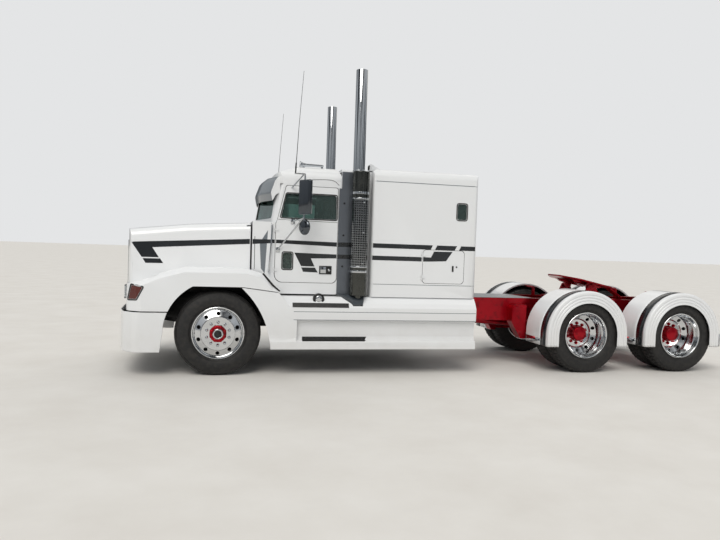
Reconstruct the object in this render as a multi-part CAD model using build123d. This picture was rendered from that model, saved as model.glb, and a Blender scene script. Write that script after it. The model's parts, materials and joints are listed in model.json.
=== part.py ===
"""Semi truck tractor unit with sleeper, side skirts and tandem drive axles.

Millimetres. Inside this file X is measured forward from the front axle, Y to the truck's left and Z up from
the ground. Each piece is moved once, when it is saved, to the frame whose origin is on the ground under the
middle of the overall length.
"""
from build123d import *
from math import acos, cos, pi, sin, tan
import os

# Overall length
FRONT_OVERHANG = 1250
AXLE_1_X = -5063
TANDEM_SPACING = 1528
REAR_OVERHANG = 809
AXLE_2_X = AXLE_1_X - TANDEM_SPACING
TAIL_X = AXLE_2_X - REAR_OVERHANG
CENTRE_X = (FRONT_OVERHANG + TAIL_X) / 2

# Wheels and tyres
TYRE_R = 532
TYRE_HALF = 137
TREAD_HALF = 108
BEAD_R = 311
LIP_R = 324
RIM_HALF = 117
RIM_SEAT_HALF = 105
RIM_WALL = 9
DISC_OFFSET = 165
DISC_THICK = 22
HUB_R = 108
HUB_BORE_R = 50
HAND_HOLE_R = 25
HAND_HOLE_PCR = 246
HAND_HOLES = 10
AXLE_Z = TYRE_R
FRONT_WHEEL_Y = 1017
DUAL_OUTER_Y = 1090
DUAL_INNER_Y = DUAL_OUTER_Y - 2 * DISC_OFFSET
RUNNING = 0.1
SEAT_GAP = 0.3

# Frame
RAIL_Y = 432
RAIL_FLANGE = 90
RAIL_WALL = 9
RAIL_TOP = 985
RAIL_BOTTOM = 650
RAIL_FRONT = 940
HORN_TOP = 745
BUMPER_WALL = 12

# Steering
KINGPIN_Y = 930
KINGPIN_R = 20
BOSS_R = 45
BOSS_HALF = 70
YOKE_PLATE = 38
STEER_ARM = 200

# Cab, sleeper and hood
CAB_WALL = 40
CAB_REAR = -1540
CAB_BOTTOM = 1030
CAB_HALF = 1000
BELT_Z = 1950
EAVE_Z = 2450
ROOF_Z = 2712
WINDSCREEN_LEAN = 85
TUMBLEHOME = 35
DOOR_FRONT = -690
DOOR_REAR = -1494
DOOR_BOTTOM = 1180
DOOR_TOP = 2425
DOOR_GAP = 6
GLASS = 6
SLEEPER_FRONT = -1930
SLEEPER_REAR = -3406
SLEEPER_HALF = 1120
SLEEPER_BOTTOM = 1015
SLEEPER_TOP = 2700
SLEEPER_WALL = 30
NECK_HALF = 950
NECK_TOP = 2680
HOOD_REAR = -374
HOOD_WALL = 12
NOSE_X = 1165
FENDER_HALF = 1205
HOOD_PIVOT = (1100, 800)
HOOD_PIN_R = 8
COWL_X = -398
COWL_GAP = 22
ARCH_R = 660
FENDER_LOW = 800
FENDER_SILL = 1114

# Door and hatch hinges
HINGE_R = 6.5
HINGE_PIN_R = 4
DOOR_AXIS_X = DOOR_FRONT + 10
DOOR_AXIS_Y = CAB_HALF + 8
DOOR_HINGE_Z = (1330, 1850)
HATCH_AXIS_X = -2630
HATCH_AXIS_Y = SLEEPER_HALF + 12
HATCH_HINGE_Z = (1290, 1580)

# Skirts and tanks
SKIRT_WALL = 12
SKIRT_REAR = -3395
TANK_R = 300
TANK_FRONT = -1960
TANK_REAR = -3220

# Exhaust
STACK_X = -1732
MUFFLER_X = -1766
STACK_Y = 1110
STACK_R = 76
MIRROR_TURN = 33.5
STACK_TOP = 3943
MUFFLER_R = 115
MUFFLER_BOTTOM = 1030
MUFFLER_TOP = 2640
GUARD_LOW = 1402
GUARD_HIGH = 2290

# Round fenders
ROUND_R = 625
ROUND_SHEET = 5
ROUND_INNER_Y = 630
ROUND_OUTER_Y = 1262
ROUND_LIP_R = 455
ROUND_LEG_Z = 375

# Fifth wheel
FIFTH_X = -5640
FIFTH_PIN_Z = 1165
FIFTH_PIN_R = 22
FIFTH_TILT = 12
FIFTH_PLATE = 22
JAW_R = 25.8
JAW_BACK = 60


def rounded_face(corners):
    """Face with straight sides; each corner (x, y, radius) is rounded by its radius."""
    points = [(Vector(c[0], c[1]), c[2] if len(c) > 2 else 0) for c in corners]
    ends = []
    for i, (point, radius) in enumerate(points):
        before = (points[i - 1][0] - point).normalized()
        after = (points[(i + 1) % len(points)][0] - point).normalized()
        if radius == 0:
            ends.append((point, None, point))
            continue
        half = acos(max(-1, min(1, before.dot(after)))) / 2
        reach = radius / tan(half)
        middle = (before + after).normalized() * (radius / sin(half) - radius)
        ends.append((point + before * reach, point + middle, point + after * reach))
    edges = []
    for i, (start, middle, end) in enumerate(ends):
        if middle is not None:
            edges.append(ThreePointArc(start, middle, end))
        following = ends[(i + 1) % len(ends)][0]
        if (following - end).length > 0.001:
            edges.append(Line(end, following))
    return make_face(edges)


def side_prism(corners, low_y, high_y):
    """Solid with an outline of (X, Z, radius) corners, from low_y to high_y."""
    return extrude(Plane.XZ.offset(-high_y) * rounded_face(corners), amount=high_y - low_y)


def plan_prism(corners, low_z, high_z):
    """Solid with an outline of (X, Y, radius) corners, from low_z to high_z."""
    return extrude(Plane.XY.offset(low_z) * rounded_face(corners), amount=high_z - low_z)


def cross_prism(corners, low_x, high_x):
    """Solid with an outline of (Y, Z, radius) corners, from low_x to high_x."""
    return extrude(Plane.YZ.offset(low_x) * rounded_face(corners), amount=high_x - low_x)


def block(low, high):
    """Box between two corners."""
    size = [high[i] - low[i] for i in range(3)]
    middle = [(high[i] + low[i]) / 2 for i in range(3)]
    return Pos(*middle) * Box(*size)


def rod(start, end, radius):
    """Round bar between two points."""
    start, end = Vector(*start), Vector(*end)
    return extrude(Plane(origin=start, z_dir=end - start) * Circle(radius), amount=(end - start).length)


def turned(profile, x, z, y=0):
    """Body turned about an axis along Y at (x, z), from corners (Y, radius)."""
    face = make_face(Polyline(*[(p[1], p[0]) for p in profile], close=True))
    return Pos(x, y, z) * revolve(Plane((0, 0, 0), x_dir=(1, 0, 0), z_dir=(0, 0, -1)) * mirror(face, Plane.XZ),
                                  Axis.Y, 360)


def both_sides(piece):
    """The piece and its mirror image on the other side of the centre plane."""
    return [piece, mirror(piece, Plane.XZ)]


def joined(pieces):
    """One shape from a list of pieces that touch or overlap."""
    result = pieces[0]
    for piece in pieces[1:]:
        result = result + piece
    return result


def save(name, shape):
    """Write one node, moved to the truck's own frame."""
    solids = shape if isinstance(shape, list) else [shape]
    parts = [solid for piece in solids for solid in piece.solids()]
    moved = [Pos(-CENTRE_X, 0, 0) * part for part in parts]
    export_step(Compound(children=moved) if len(moved) > 1 else moved[0], f"parts/{name}.step")


# Frame


def frame_rails():
    """Two channel rails with cross-members, horns for the bumper and body mounts."""
    rail = cross_prism(
        [(RAIL_Y, RAIL_BOTTOM), (RAIL_Y, RAIL_TOP), (RAIL_Y - RAIL_FLANGE, RAIL_TOP),
         (RAIL_Y - RAIL_FLANGE, RAIL_TOP - RAIL_WALL), (RAIL_Y - RAIL_WALL, RAIL_TOP - RAIL_WALL),
         (RAIL_Y - RAIL_WALL, RAIL_BOTTOM + RAIL_WALL), (RAIL_Y - RAIL_FLANGE, RAIL_BOTTOM + RAIL_WALL),
         (RAIL_Y - RAIL_FLANGE, RAIL_BOTTOM)],
        PANEL_FRONT_X, RAIL_FRONT)
    horn_y = RAIL_Y - RAIL_WALL
    horn_end = FRONT_OVERHANG - BUMPER_SWEEP * horn_y / BUMPER_SWEEP_Y - BUMPER_WALL - SEAT_GAP
    rail += block((RAIL_FRONT - 60, RAIL_Y - RAIL_FLANGE, RAIL_BOTTOM), (horn_end, horn_y, HORN_TOP))
    pivot_x, pivot_z = HOOD_PIVOT
    hinge = block((pivot_x - 30, HINGE_Y - 30, HORN_TOP), (pivot_x, HINGE_Y, pivot_z))
    hinge += rod((pivot_x, HINGE_Y - 30, pivot_z), (pivot_x, HINGE_Y, pivot_z), HOOD_PIN_R + 4)
    hinge += rod((pivot_x, HINGE_Y, pivot_z), (pivot_x, HINGE_Y + 35, pivot_z), HOOD_PIN_R)
    pieces = both_sides(rail + hinge)
    member_x = [-1620, -2400, -3300, -4150, -4760, -5860, -6900]
    for x in member_x:
        pieces.append(block((x - 45, -RAIL_Y + RAIL_WALL, 850), (x + 45, RAIL_Y - RAIL_WALL, 970)))
    pieces.append(block((RAIL_FRONT - 40, -RAIL_Y + RAIL_WALL, RAIL_BOTTOM),
                        (RAIL_FRONT + 20, RAIL_Y - RAIL_WALL, HORN_TOP)))
    pieces.append(block((PANEL_FRONT_X, -RAIL_Y, 330), (PANEL_FRONT_X + 12, RAIL_Y, RAIL_TOP)))
    mounts = [(-620, CAB_BOTTOM), (-1450, CAB_BOTTOM), (-2050, SLEEPER_BOTTOM), (-3320, SLEEPER_BOTTOM)]
    for x, top in mounts:
        pieces += both_sides(block((x - 50, RAIL_Y - RAIL_FLANGE, RAIL_TOP), (x + 50, RAIL_Y, top)))
    return joined(pieces)


def frame_brackets():
    """Skirt brackets, spring hangers and fender bars, each bolted to a rail."""
    outside = RAIL_Y + SEAT_GAP
    pieces = []
    for x in (-1000, -1880, -3300):
        pieces += both_sides(block((x - 8, outside, 740), (x + 8, SKIRT_OUT - SKIRT_BACK - SEAT_GAP, 830)))
    for axle in (AXLE_1_X, AXLE_2_X):
        hanger = side_prism([(axle + 620, 400), (axle + 700, 400), (axle + 845, 640, 60),
                             (axle + 845, 895, 90), (axle + 620, 895)], outside, RAIL_Y + 165)
        pieces += both_sides(hanger)
        post = block((axle - 20, RAIL_Y - 60, RAIL_TOP + SEAT_GAP), (axle + 20, RAIL_Y - 20, FENDER_BAR_Z))
        bar = rod((axle, RAIL_Y - 40, FENDER_BAR_Z), (axle, ROUND_OUTER_Y - 60, FENDER_BAR_Z), FENDER_BAR_R)
        for y in (ROUND_INNER_Y + 60, ROUND_OUTER_Y - 120):
            bar += block((axle - 15, y, FENDER_BAR_Z), (axle + 15, y + 50, SADDLE_Z))
        pieces += both_sides(post + bar)
    return pieces


BUMPER_SWEEP = 40
BUMPER_SWEEP_Y = 700
HINGE_Y = RAIL_Y - 40
PANEL_FRONT_X = TAIL_X + 120
SKIRT_OUT = 1200
SKIRT_BACK = 18
FENDER_BAR_R = 16
ROUND_LIP = 28
FENDER_BAR_Z = AXLE_Z + ROUND_R - ROUND_LIP - FENDER_BAR_R - 2
SADDLE_Z = AXLE_Z + ROUND_R - ROUND_SHEET - 0.6


def deck_plate():
    """Flat walking plate on the rails behind the sleeper."""
    return plan_prism([(-3430, -RAIL_Y), (-3430, RAIL_Y), (-4620, RAIL_Y), (-4620, -RAIL_Y)],
                      RAIL_TOP, RAIL_TOP + 5)


def bumper_outline(inset):
    """Plan of the bumper, swept back towards its corners."""
    tip = FRONT_OVERHANG - inset
    swept = tip - BUMPER_SWEEP
    corner = tip - 110
    return [(tip, 0, 1500), (swept, BUMPER_SWEEP_Y, 900), (corner, 1030, 120), (tip - 260, 1195 - inset, 150),
            (560, 1200 - inset), (560, -1200 + inset), (tip - 260, -1195 + inset, 150),
            (corner, -1030, 120), (swept, -BUMPER_SWEEP_Y, 900)]


def bumper():
    """Deep painted bumper whose ends follow the wheel arches."""
    low, high = 300, 786
    shell = plan_prism(bumper_outline(0), low, high)
    shell -= plan_prism([(x - 0.1 if x < 600 else x, y, r[0] if r else 0)
                         for x, y, *r in bumper_outline(BUMPER_WALL)], low - 1, high + 1)
    shell -= block((540, -1190 + BUMPER_WALL, low - 1), (900, 1190 - BUMPER_WALL, high + 1))
    arch = side_prism([(500, low - 20), (692, low - 20), (ARCH_R, AXLE_Z), (500, AXLE_Z)], -1300, 1300)
    return shell - arch - rod((0, -1300, AXLE_Z), (0, 1300, AXLE_Z), ARCH_R)


# Hood


def hood_section(x, top, half, inset):
    """Cross-section of the hood at x: upright sides, leaning shoulders and a slightly crowned top."""
    low = 800 if inset == 0 else 760
    w, t = half - inset, top - inset
    corners = [(-w, low), (w, low), (w, 1300, 200), (w - 45, t - 35, 115), (0, t, 2500),
               (-w + 45, t - 35, 115), (-w, 1300, 200)]
    return Plane.YZ.offset(x) * rounded_face(corners)


def hood_body(inset):
    """Main body of the hood between its plan and its side outline."""
    stations = [(HOOD_REAR - 400, 1962, 968), (HOOD_REAR, 1958, 962), (400, 1912, 930), (1250, 1815, 880)]
    body = loft([hood_section(x, top, half, inset) for x, top, half in stations], ruled=True)
    nose = NOSE_X - inset
    side = [(nose, 700), (nose, 1845 - inset, 150), (HOOD_REAR, 2100), (HOOD_REAR - 4, 1325), (-460, 700)]
    plan = [(nose, 0, 3000), (nose - 24, 600, 400), (nose - 80, 900 - inset, 120), (-800, 1100),
            (-800, -1100), (nose - 80, -900 + inset, 120), (nose - 24, -600, 400)]
    return body & side_prism(side, -1200, 1200) & plan_prism(plan, 700, 2200)


def fender_outline(inset, drop):
    """Side outline of a front fender, its top lowered by drop."""
    low = FENDER_LOW if inset == 0 else FENDER_LOW - 100
    down = inset + drop
    arch = [(520, low), (300, FENDER_SILL), (-300, FENDER_SILL), (-745, 1060)]
    if inset:
        arch = [(520, low), (300, low), (-300, low), (-745, low)]
    top = [(-745 - inset / 2, 1066), (-655, 1145 - down), (-530, 1289 - down), (-330, 1346 - down),
           (415, 1345 - down), (706, 1262 - down), (960, 1150 - down), (1150 - inset, 1120 - down)]
    return arch + top + [(1150 - inset, low)]


def fender(inset):
    """One front fender: a full-depth body and a sloping shoulder outside it."""
    inner_y, shoulder_y = (560 if inset else 860), 1120
    outer_y = FENDER_HALF - inset
    body = side_prism(fender_outline(inset, 0), inner_y, shoulder_y)
    faces = [Plane.XZ.offset(-shoulder_y) * rounded_face(fender_outline(inset, 0)),
             Plane.XZ.offset(-outer_y) * rounded_face(fender_outline(inset, 62))]
    body += loft(faces, ruled=True)
    if inset:
        return body
    arch = rod((0, 500, AXLE_Z), (0, 1300, AXLE_Z), ARCH_R) & block((-50, 400, 0), (900, 1400, FENDER_SILL))
    return body - arch


def front_plan(inset):
    """Plan outline that rounds the front corners of the fenders."""
    nose = NOSE_X - 15 - inset
    half = FENDER_HALF + 10 - inset
    return plan_prism([(nose, -700, 400), (nose, 700, 400), (nose - 60, 1080, 150), (nose - 230, half, 200),
                       (-1200, half), (-1200, -half), (nose - 230, -half, 200), (nose - 60, -1080, 150)],
                      600, 2200)


def hood():
    """One-piece tilting hood with both fenders, open below and behind, cut for grille and lamps."""
    outer = hood_body(0) + joined(both_sides(fender(0) & front_plan(0)))
    inner = hood_body(HOOD_WALL) + joined(both_sides(fender(HOOD_WALL) & front_plan(HOOD_WALL)))
    inner += block((HOOD_REAR - 300, -900, 1340), (HOOD_REAR + 50, 900, 1900))
    shell = outer - inner
    shell -= block((1000, -GRILLE_HALF, GRILLE_LOW), (1300, GRILLE_HALF, GRILLE_HIGH))
    for sign in (1, -1):
        y = sorted((sign * LAMP_IN, sign * LAMP_OUT))
        shell -= block((1000, y[0], LAMP_LOW), (1300, y[1], LAMP_HIGH))
        shell -= lens_prism(sign, 0)
    shell -= cab_body(-COWL_GAP)
    pivot_x, pivot_z = HOOD_PIVOT
    ear = block((pivot_x - 12, HINGE_Y + 5, pivot_z), (NOSE_X - 30, HINGE_Y + 35, pivot_z + 60))
    ear += rod((pivot_x, HINGE_Y + 5, pivot_z), (pivot_x, HINGE_Y + 35, pivot_z), 14)
    ear -= rod((pivot_x, HINGE_Y, pivot_z), (pivot_x, HINGE_Y + 40, pivot_z), HOOD_PIN_R + RUNNING)
    return max((shell + joined(both_sides(ear))).solids(), key=lambda s: s.volume)


GRILLE_HALF = 430
GRILLE_LOW = 960
GRILLE_HIGH = 1660
LAMP_IN = 500
LAMP_OUT = 850
LAMP_LOW = 925
LAMP_HIGH = 1095


def lens_prism(sign, gap):
    """Volume of a wrap-round turn lens, a little smaller all round than its hole."""
    corners = [(1034 - gap, 1112 - gap), (900 + gap, 1090 - gap),
               (974 + gap, 945 + gap), (1072 - gap, 940 + gap)]
    low, high = sorted((sign * 1050, sign * 1300))
    return side_prism(corners, low, high)


def turn_lenses():
    """Turn lenses that carry on the fender's outer surface."""
    lenses = []
    for sign in (1, -1):
        skin = fender(0) & front_plan(0)
        skin -= fender(HOOD_WALL + 8) & front_plan(HOOD_WALL + 8)
        if sign < 0:
            skin = mirror(skin, Plane.XZ)
        lenses.append(max((skin & lens_prism(sign, SEAT_GAP)).solids(), key=lambda s: s.volume))
    return lenses


def grille():
    """Grille of level bars in a frame, set in the nose."""
    low, high, half = GRILLE_LOW + SEAT_GAP, GRILLE_HIGH - SEAT_GAP, GRILLE_HALF - SEAT_GAP
    back, face = NOSE_X - 60, NOSE_X + 8
    frame = block((back, -half, low), (face, half, high))
    frame -= block((back - 1, -half + 28, low + 28), (face + 1, half - 28, high - 28))
    bars = 12
    pitch = (high - low - 56) / bars
    for i in range(1, bars):
        z = low + 28 + pitch * i
        frame += block((back + 15, -half + 20, z - 9), (face - 14, half - 20, z + 9))
    for y in (-half / 3, half / 3):
        frame += block((back + 2, y - 6, low + 20), (back + 22, y + 6, high - 20))
    return frame


def headlamps():
    """Two rectangular lamps a side in one bezel."""
    lamps = []
    for sign in (1, -1):
        y = sorted((sign * (LAMP_IN + SEAT_GAP), sign * (LAMP_OUT - SEAT_GAP)))
        lamp = block((1040, y[0], LAMP_LOW + SEAT_GAP), (NOSE_X - 12, y[1], LAMP_HIGH - SEAT_GAP))
        middle = (y[0] + y[1]) / 2
        for centre in (middle - 84, middle + 84):
            lamp -= block((NOSE_X - 40, centre - 74, LAMP_LOW + 16), (NOSE_X, centre + 74, LAMP_HIGH - 16))
            lamp += block((NOSE_X - 60, centre - 68, LAMP_LOW + 22), (NOSE_X - 22, centre + 68, LAMP_HIGH - 22))
        lamps.append(lamp)
    return lamps


# Cab


def hinge_lugs(x, y, foot_y, z):
    """Fixed half of an upright hinge: two lugs on their feet and the pin through them."""
    piece = rod((x, y, z - 30), (x, y, z + 30), HINGE_PIN_R)
    for low in (z - 30, z + 13):
        piece += rod((x, y, low), (x, y, low + 17), HINGE_R) + block((x, foot_y, low), (x + 16, y, low + 17))
    return piece


def hinge_strap(x, y, foot_y, z):
    """Moving half of the hinge: a barrel on the pin and a strap to the leaf."""
    piece = rod((x, y, z - 12), (x, y, z + 12), HINGE_R)
    piece += block((x - 40, y - 5, z - 12), (x, y, z + 12))
    piece += block((x - 40, foot_y, z - 12), (x - 15, y, z + 12))
    return piece - rod((x, y, z - 13), (x, y, z + 13), HINGE_PIN_R + RUNNING)


def with_hinges(leaf, sign, straps):
    """A leaf of the left or right side with its hinge straps added."""
    for strap in straps:
        leaf += strap if sign > 0 else mirror(strap, Plane.XZ)
    return max(leaf.solids(), key=lambda s: s.volume)


def cab_plan(setback, narrow, inset):
    """Plan outline of the cab: a swept windscreen front, angled cowl sides and straight doors."""
    half = CAB_HALF - narrow - inset
    front = -470 - setback - inset
    pillar = -640 - setback - inset
    rear = CAB_REAR + inset
    return [(front, 0), (pillar, half - 70), (DOOR_FRONT - setback, half), (rear, half),
            (rear, -half), (DOOR_FRONT - setback, -half), (pillar, -half + 70)]


def cowl_plan(inset):
    """Plan outline of the cab below the belt, with the cowl under the windscreen."""
    half = CAB_HALF - inset
    front, rear = COWL_X - inset, CAB_REAR + inset
    return [(front, -half + 58), (front, half - 58), (-590, half - 28), (DOOR_FRONT, half), (rear, half),
            (rear, -half), (DOOR_FRONT, -half), (-590, -half + 28)]


def cab_body(inset):
    """Closed solid of the cab, each face moved inwards by inset."""
    lower = plan_prism(cowl_plan(inset), CAB_BOTTOM + inset, BELT_Z)
    faces = [Plane.XY.offset(z) * rounded_face(cab_plan(back, narrow, inset))
             for z, back, narrow in ((BELT_Z, 0, 0), (EAVE_Z, WINDSCREEN_LEAN, TUMBLEHOME))]
    upper = loft(faces, ruled=True)
    half = CAB_HALF - TUMBLEHOME - inset
    top = ROOF_Z - inset
    brow_x = -560 - inset
    across = cross_prism([(-half, EAVE_Z), (half, EAVE_Z), (half, top - 25, 190), (0, top, 3000),
                          (-half, top - 25, 190)], CAB_REAR - 100, 0)
    along = side_prism([(brow_x, EAVE_Z), (CAB_REAR + inset, EAVE_Z), (CAB_REAR + inset, top - 6, 160),
                        (-1080, top, 900), (-800, top - 84, 200), (brow_x - 110, top - 132, 60)],
                       -1100, 1100)
    brow = plan_prism([(brow_x, 0, 2500), (-715 - inset, half, 130), (CAB_REAR, 1100), (CAB_REAR, -1100),
                       (-715 - inset, -half, 130)], EAVE_Z, ROOF_Z + 10)
    return lower + upper + (across & along & brow)


def door_outline(gap):
    """Side outline of the door, grown by gap all round."""
    return [(DOOR_FRONT + gap, DOOR_BOTTOM - gap, 100), (DOOR_REAR - gap, DOOR_BOTTOM - gap, 70),
            (DOOR_REAR - gap, DOOR_TOP + gap, 30), (-815 + gap, DOOR_TOP + gap, 30),
            (-712 + gap, 1990, 40), (DOOR_FRONT + gap, 1930, 40)]


def window_outline(gap):
    """Side outline of the door window, shrunk by gap all round."""
    low, high, rear = 2008 + gap, 2322 - gap, -1474 + gap
    return [(-752 - gap, low + 6, 15), (-820 - gap, high, 20), (rear, high, 25), (rear, low, 15)]


def peep_outline(gap):
    """Side outline of the small low window in the door, shrunk by gap all round."""
    low, high, front, rear = 1350 + gap, 1560 - gap, -788 - gap, -910 + gap
    return [(front, low, 22), (front, high, 22), (rear, high, 22), (rear, low, 22)]


def windscreen_plane(sign):
    """Plane of one half of the windscreen, X along its foot and Y up its slope."""
    foot_in, foot_out = Vector(-470, 0, BELT_Z), Vector(-640, sign * (CAB_HALF - 70), BELT_Z)
    head_in = Vector(-470 - WINDSCREEN_LEAN, 0, EAVE_Z)
    along, up = foot_out - foot_in, head_in - foot_in
    return Plane(origin=foot_in, x_dir=along, z_dir=along.cross(up))


def windscreen_pane(sign, grow):
    """Outline of one windscreen pane in its own plane."""
    low, high, inner, outer = 50 - grow, 440 + grow, 28 - grow, 905 + grow
    return windscreen_plane(sign) * rounded_face(
        [(inner, low, 12), (outer - 15, low, 40), (outer - 95, high, 40), (inner, high, 12)])


def cab_interior():
    """Clear space inside the cab walls."""
    return cab_body(CAB_WALL)


def cab_shell():
    """Cab walls, floor and roof with door openings, windscreen openings and the way to the sleeper."""
    shell = cab_body(0) - cab_interior()
    shell -= side_prism(door_outline(DOOR_GAP), CAB_HALF - 150, CAB_HALF + 50)
    shell -= side_prism(door_outline(DOOR_GAP), -CAB_HALF - 50, -CAB_HALF + 150)
    for sign in (1, -1):
        shell -= extrude(windscreen_pane(sign, 0), amount=90, both=True)
    shell -= block((CAB_REAR - 10, -PASS_HALF, PASS_LOW), (CAB_REAR + 60, PASS_HALF, PASS_HIGH))
    for z in DOOR_HINGE_Z:
        shell += joined(both_sides(hinge_lugs(DOOR_AXIS_X, DOOR_AXIS_Y, 975, z)))
    return max(shell.solids(), key=lambda s: s.volume)


PASS_HALF = 330
PASS_LOW = 1250
PASS_HIGH = 2350


def fixed_windows():
    """Two windscreen panes and the small sleeper windows, set in the middle of their walls."""
    panes = []
    for sign in (1, -1):
        sheet = extrude(windscreen_pane(sign, -SEAT_GAP), amount=40, both=True)
        body = cab_body(12) - cab_body(12 + GLASS)
        panes.append(max((sheet & body).solids(), key=lambda s: s.volume))
    inside = SLEEPER_HALF - 18
    for piece in both_sides(side_prism(sleeper_window(-SEAT_GAP), inside, inside + GLASS)):
        panes.append(piece)
    return panes


def door(sign):
    """Cab door as thick as the wall, with its window opening."""
    low, high = sorted((sign * (CAB_HALF - 150), sign * (CAB_HALF + 50)))
    leaf = (cab_body(0) - cab_interior()) & side_prism(door_outline(0), low, high)
    leaf -= side_prism(window_outline(0), low, high) + side_prism(peep_outline(0), low, high)
    straps = [hinge_strap(DOOR_AXIS_X, DOOR_AXIS_Y, CAB_HALF - 0.5, z) for z in DOOR_HINGE_Z]
    return with_hinges(leaf, sign, straps)


def door_glass(sign):
    """Panes of both door windows, in the middle of the door's thickness."""
    low, high = sorted((sign * (CAB_HALF - 150), sign * (CAB_HALF + 50)))
    middle = CAB_WALL / 2
    sheet = cab_body(middle) - cab_body(middle + GLASS)
    panes = [sheet & side_prism(outline(SEAT_GAP), low, high) for outline in (window_outline, peep_outline)]
    return [max(pane.solids(), key=lambda s: s.volume) for pane in panes]


def swept_sheet(corners, knee_y, end_y):
    """Outline of (X, Z, radius) corners drawn out to both sides, swept back more beyond the knee."""
    legs = []
    for sign in (1, -1):
        inner = Vector(-0.06, sign, 0)
        outer = Vector(-0.34, sign, 0)
        middle = Plane.XZ * rounded_face(corners)
        knee = Pos(inner.X * knee_y, inner.Y * knee_y, 0) * middle
        reach = end_y - knee_y
        legs.append(extrude(middle, amount=knee_y * inner.length, dir=inner.normalized()))
        legs.append(extrude(knee, amount=reach * outer.length, dir=outer.normalized()))
    return joined(legs)


def visor():
    """Drop visor over the windscreen: a bent sheet closed by a cheek at each end."""
    half, wall, rear = 940, 12, -735
    shape = [(-490, 2225), (-466, 2330, 60), (-520, 2487, 90), (-560, 2541, 50), (rear, 2556), (rear, 2322),
             (-540, 2322, 60)]
    hollow = [(-502, 2215), (-479, 2328, 50), (-532, 2480, 80), (-568, 2528, 40), (rear - 10, 2543),
              (rear - 10, 2215)]
    body = swept_sheet(shape, 600, half) - swept_sheet(hollow, 600, half - wall)
    body &= block((rear, -half, 2200), (-400, half, 2700))
    body -= cab_body(-SEAT_GAP)
    return max(body.solids(), key=lambda s: s.volume)


def dash():
    """Dash with instrument hood, steering column and wheel on the left."""
    top = side_prism([(-520, 1560), (-520, 1900), (-640, 1905), (-800, 1880, 40), (-880, 1760, 30),
                      (-860, 1560)],
                     -800, 800)
    top &= plan_prism(cab_plan(0, 0, CAB_WALL + SEAT_GAP), 1400, 2000)
    leg = block((-800, -120, CAB_BOTTOM + CAB_WALL), (-560, 120, 1600))
    column = rod((-790, 460, 1640), (-1010, 460, 1800), 32)
    rim_plane = Plane(origin=(-1010, 460, 1800), z_dir=(-220, 0, 160))
    wheel = rim_plane * Torus(228, 15)
    hub = rim_plane * Cylinder(48, 40)
    spokes = [rim_plane * Rot(0, 0, angle) * Pos(114, 0, 0) * Box(228, 26, 10) for angle in (0, 120, 240)]
    return joined([top, leg, column, wheel, hub] + spokes)


def seats():
    """Two high-backed seats on boxes."""
    floor = CAB_BOTTOM + CAB_WALL
    seat = block((-1420, 260, floor), (-1020, 660, 1380))
    seat += side_prism([(-960, 1380, 20), (-960, 1500, 50), (-1340, 1490), (-1400, 2170, 30), (-1494, 2170, 30),
                        (-1460, 1380)], 220, 700)
    return both_sides(seat)


# Sleeper and exhaust


def sleeper_body(inset):
    """Closed solid of the sleeper with its narrow neck to the cab."""
    half, low, high = SLEEPER_HALF - inset, SLEEPER_BOTTOM + inset, SLEEPER_TOP - inset
    front, rear = SLEEPER_FRONT - inset, SLEEPER_REAR + inset
    across = cross_prism([(-half, low), (half, low), (half, high, 120), (-half, high, 120)], rear, front)
    plan = plan_prism([(front, half, 40), (rear, half, 70), (rear, -half, 70), (front, -half, 40)], low, high)
    along = side_prism([(front, low), (front, high - 8, 60), (rear, high, 60), (rear, low)], -half, half)
    neck_half, neck_top = NECK_HALF - inset, NECK_TOP - inset
    neck = cross_prism([(-neck_half, low), (neck_half, low), (neck_half, neck_top, 35),
                        (-neck_half, neck_top, 35)],
                       front - 5, CAB_REAR - SEAT_GAP + (0 if inset == 0 else 10))
    return (across & plan & along) + neck


def hatch_outline(grow):
    """Side outline of the luggage hatch, grown all round."""
    return [(-2640 + grow, 1212 - grow, 50), (-3222 - grow, 1212 - grow, 50), (-3222 - grow, 1655 + grow, 50),
            (-2640 + grow, 1655 + grow, 50)]


def sleeper_window(grow):
    """Side outline of the small sleeper window."""
    return [(-3104 + grow, 2074 - grow, 25), (-3236 - grow, 2074 - grow, 25), (-3236 - grow, 2284 + grow, 25),
            (-3104 + grow, 2284 + grow, 25)]


def sleeper_shell():
    """Sleeper walls with hatches and small windows cut, and a bunk board across it."""
    shell = sleeper_body(0) - sleeper_body(SLEEPER_WALL)
    for outline in (hatch_outline(5), sleeper_window(0)):
        shell -= side_prism(outline, SLEEPER_HALF - 60, SLEEPER_HALF + 20)
        shell -= side_prism(outline, -SLEEPER_HALF - 20, -SLEEPER_HALF + 60)
    shell -= block((CAB_REAR - 60, -PASS_HALF, PASS_LOW), (CAB_REAR + 60, PASS_HALF, PASS_HIGH))
    shell += block((SLEEPER_REAR + 10, -SLEEPER_HALF + 15, 1740), (-2330, SLEEPER_HALF - 15, 1765))
    for z in HATCH_HINGE_Z:
        shell += joined(both_sides(hinge_lugs(HATCH_AXIS_X, HATCH_AXIS_Y, SLEEPER_HALF - 0.5, z)))
    return max(shell.solids(), key=lambda s: s.volume)


def hatch(sign):
    """Luggage hatch as thick as the sleeper wall."""
    low, high = sorted((sign * (SLEEPER_HALF - 60), sign * (SLEEPER_HALF + 20)))
    leaf = (sleeper_body(0) - sleeper_body(SLEEPER_WALL)) & side_prism(hatch_outline(0), low, high)
    straps = [hinge_strap(HATCH_AXIS_X, HATCH_AXIS_Y, SLEEPER_HALF - 0.5, z) for z in HATCH_HINGE_Z]
    return with_hinges(leaf, sign, straps)


def stack_panels():
    """Bright sheets between the cab's rear edge and the mufflers."""
    panel = block((-1680, NECK_HALF, 1020), (CAB_REAR - 1, CAB_HALF + 6, 2640))
    panel += block((CAB_REAR - 1, CAB_HALF + SEAT_GAP, 1020), (DOOR_REAR - DOOR_GAP - 2, CAB_HALF + 6, 2420))
    panel -= cab_body(-SEAT_GAP)
    return both_sides(max(panel.solids(), key=lambda s: s.volume))


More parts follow.
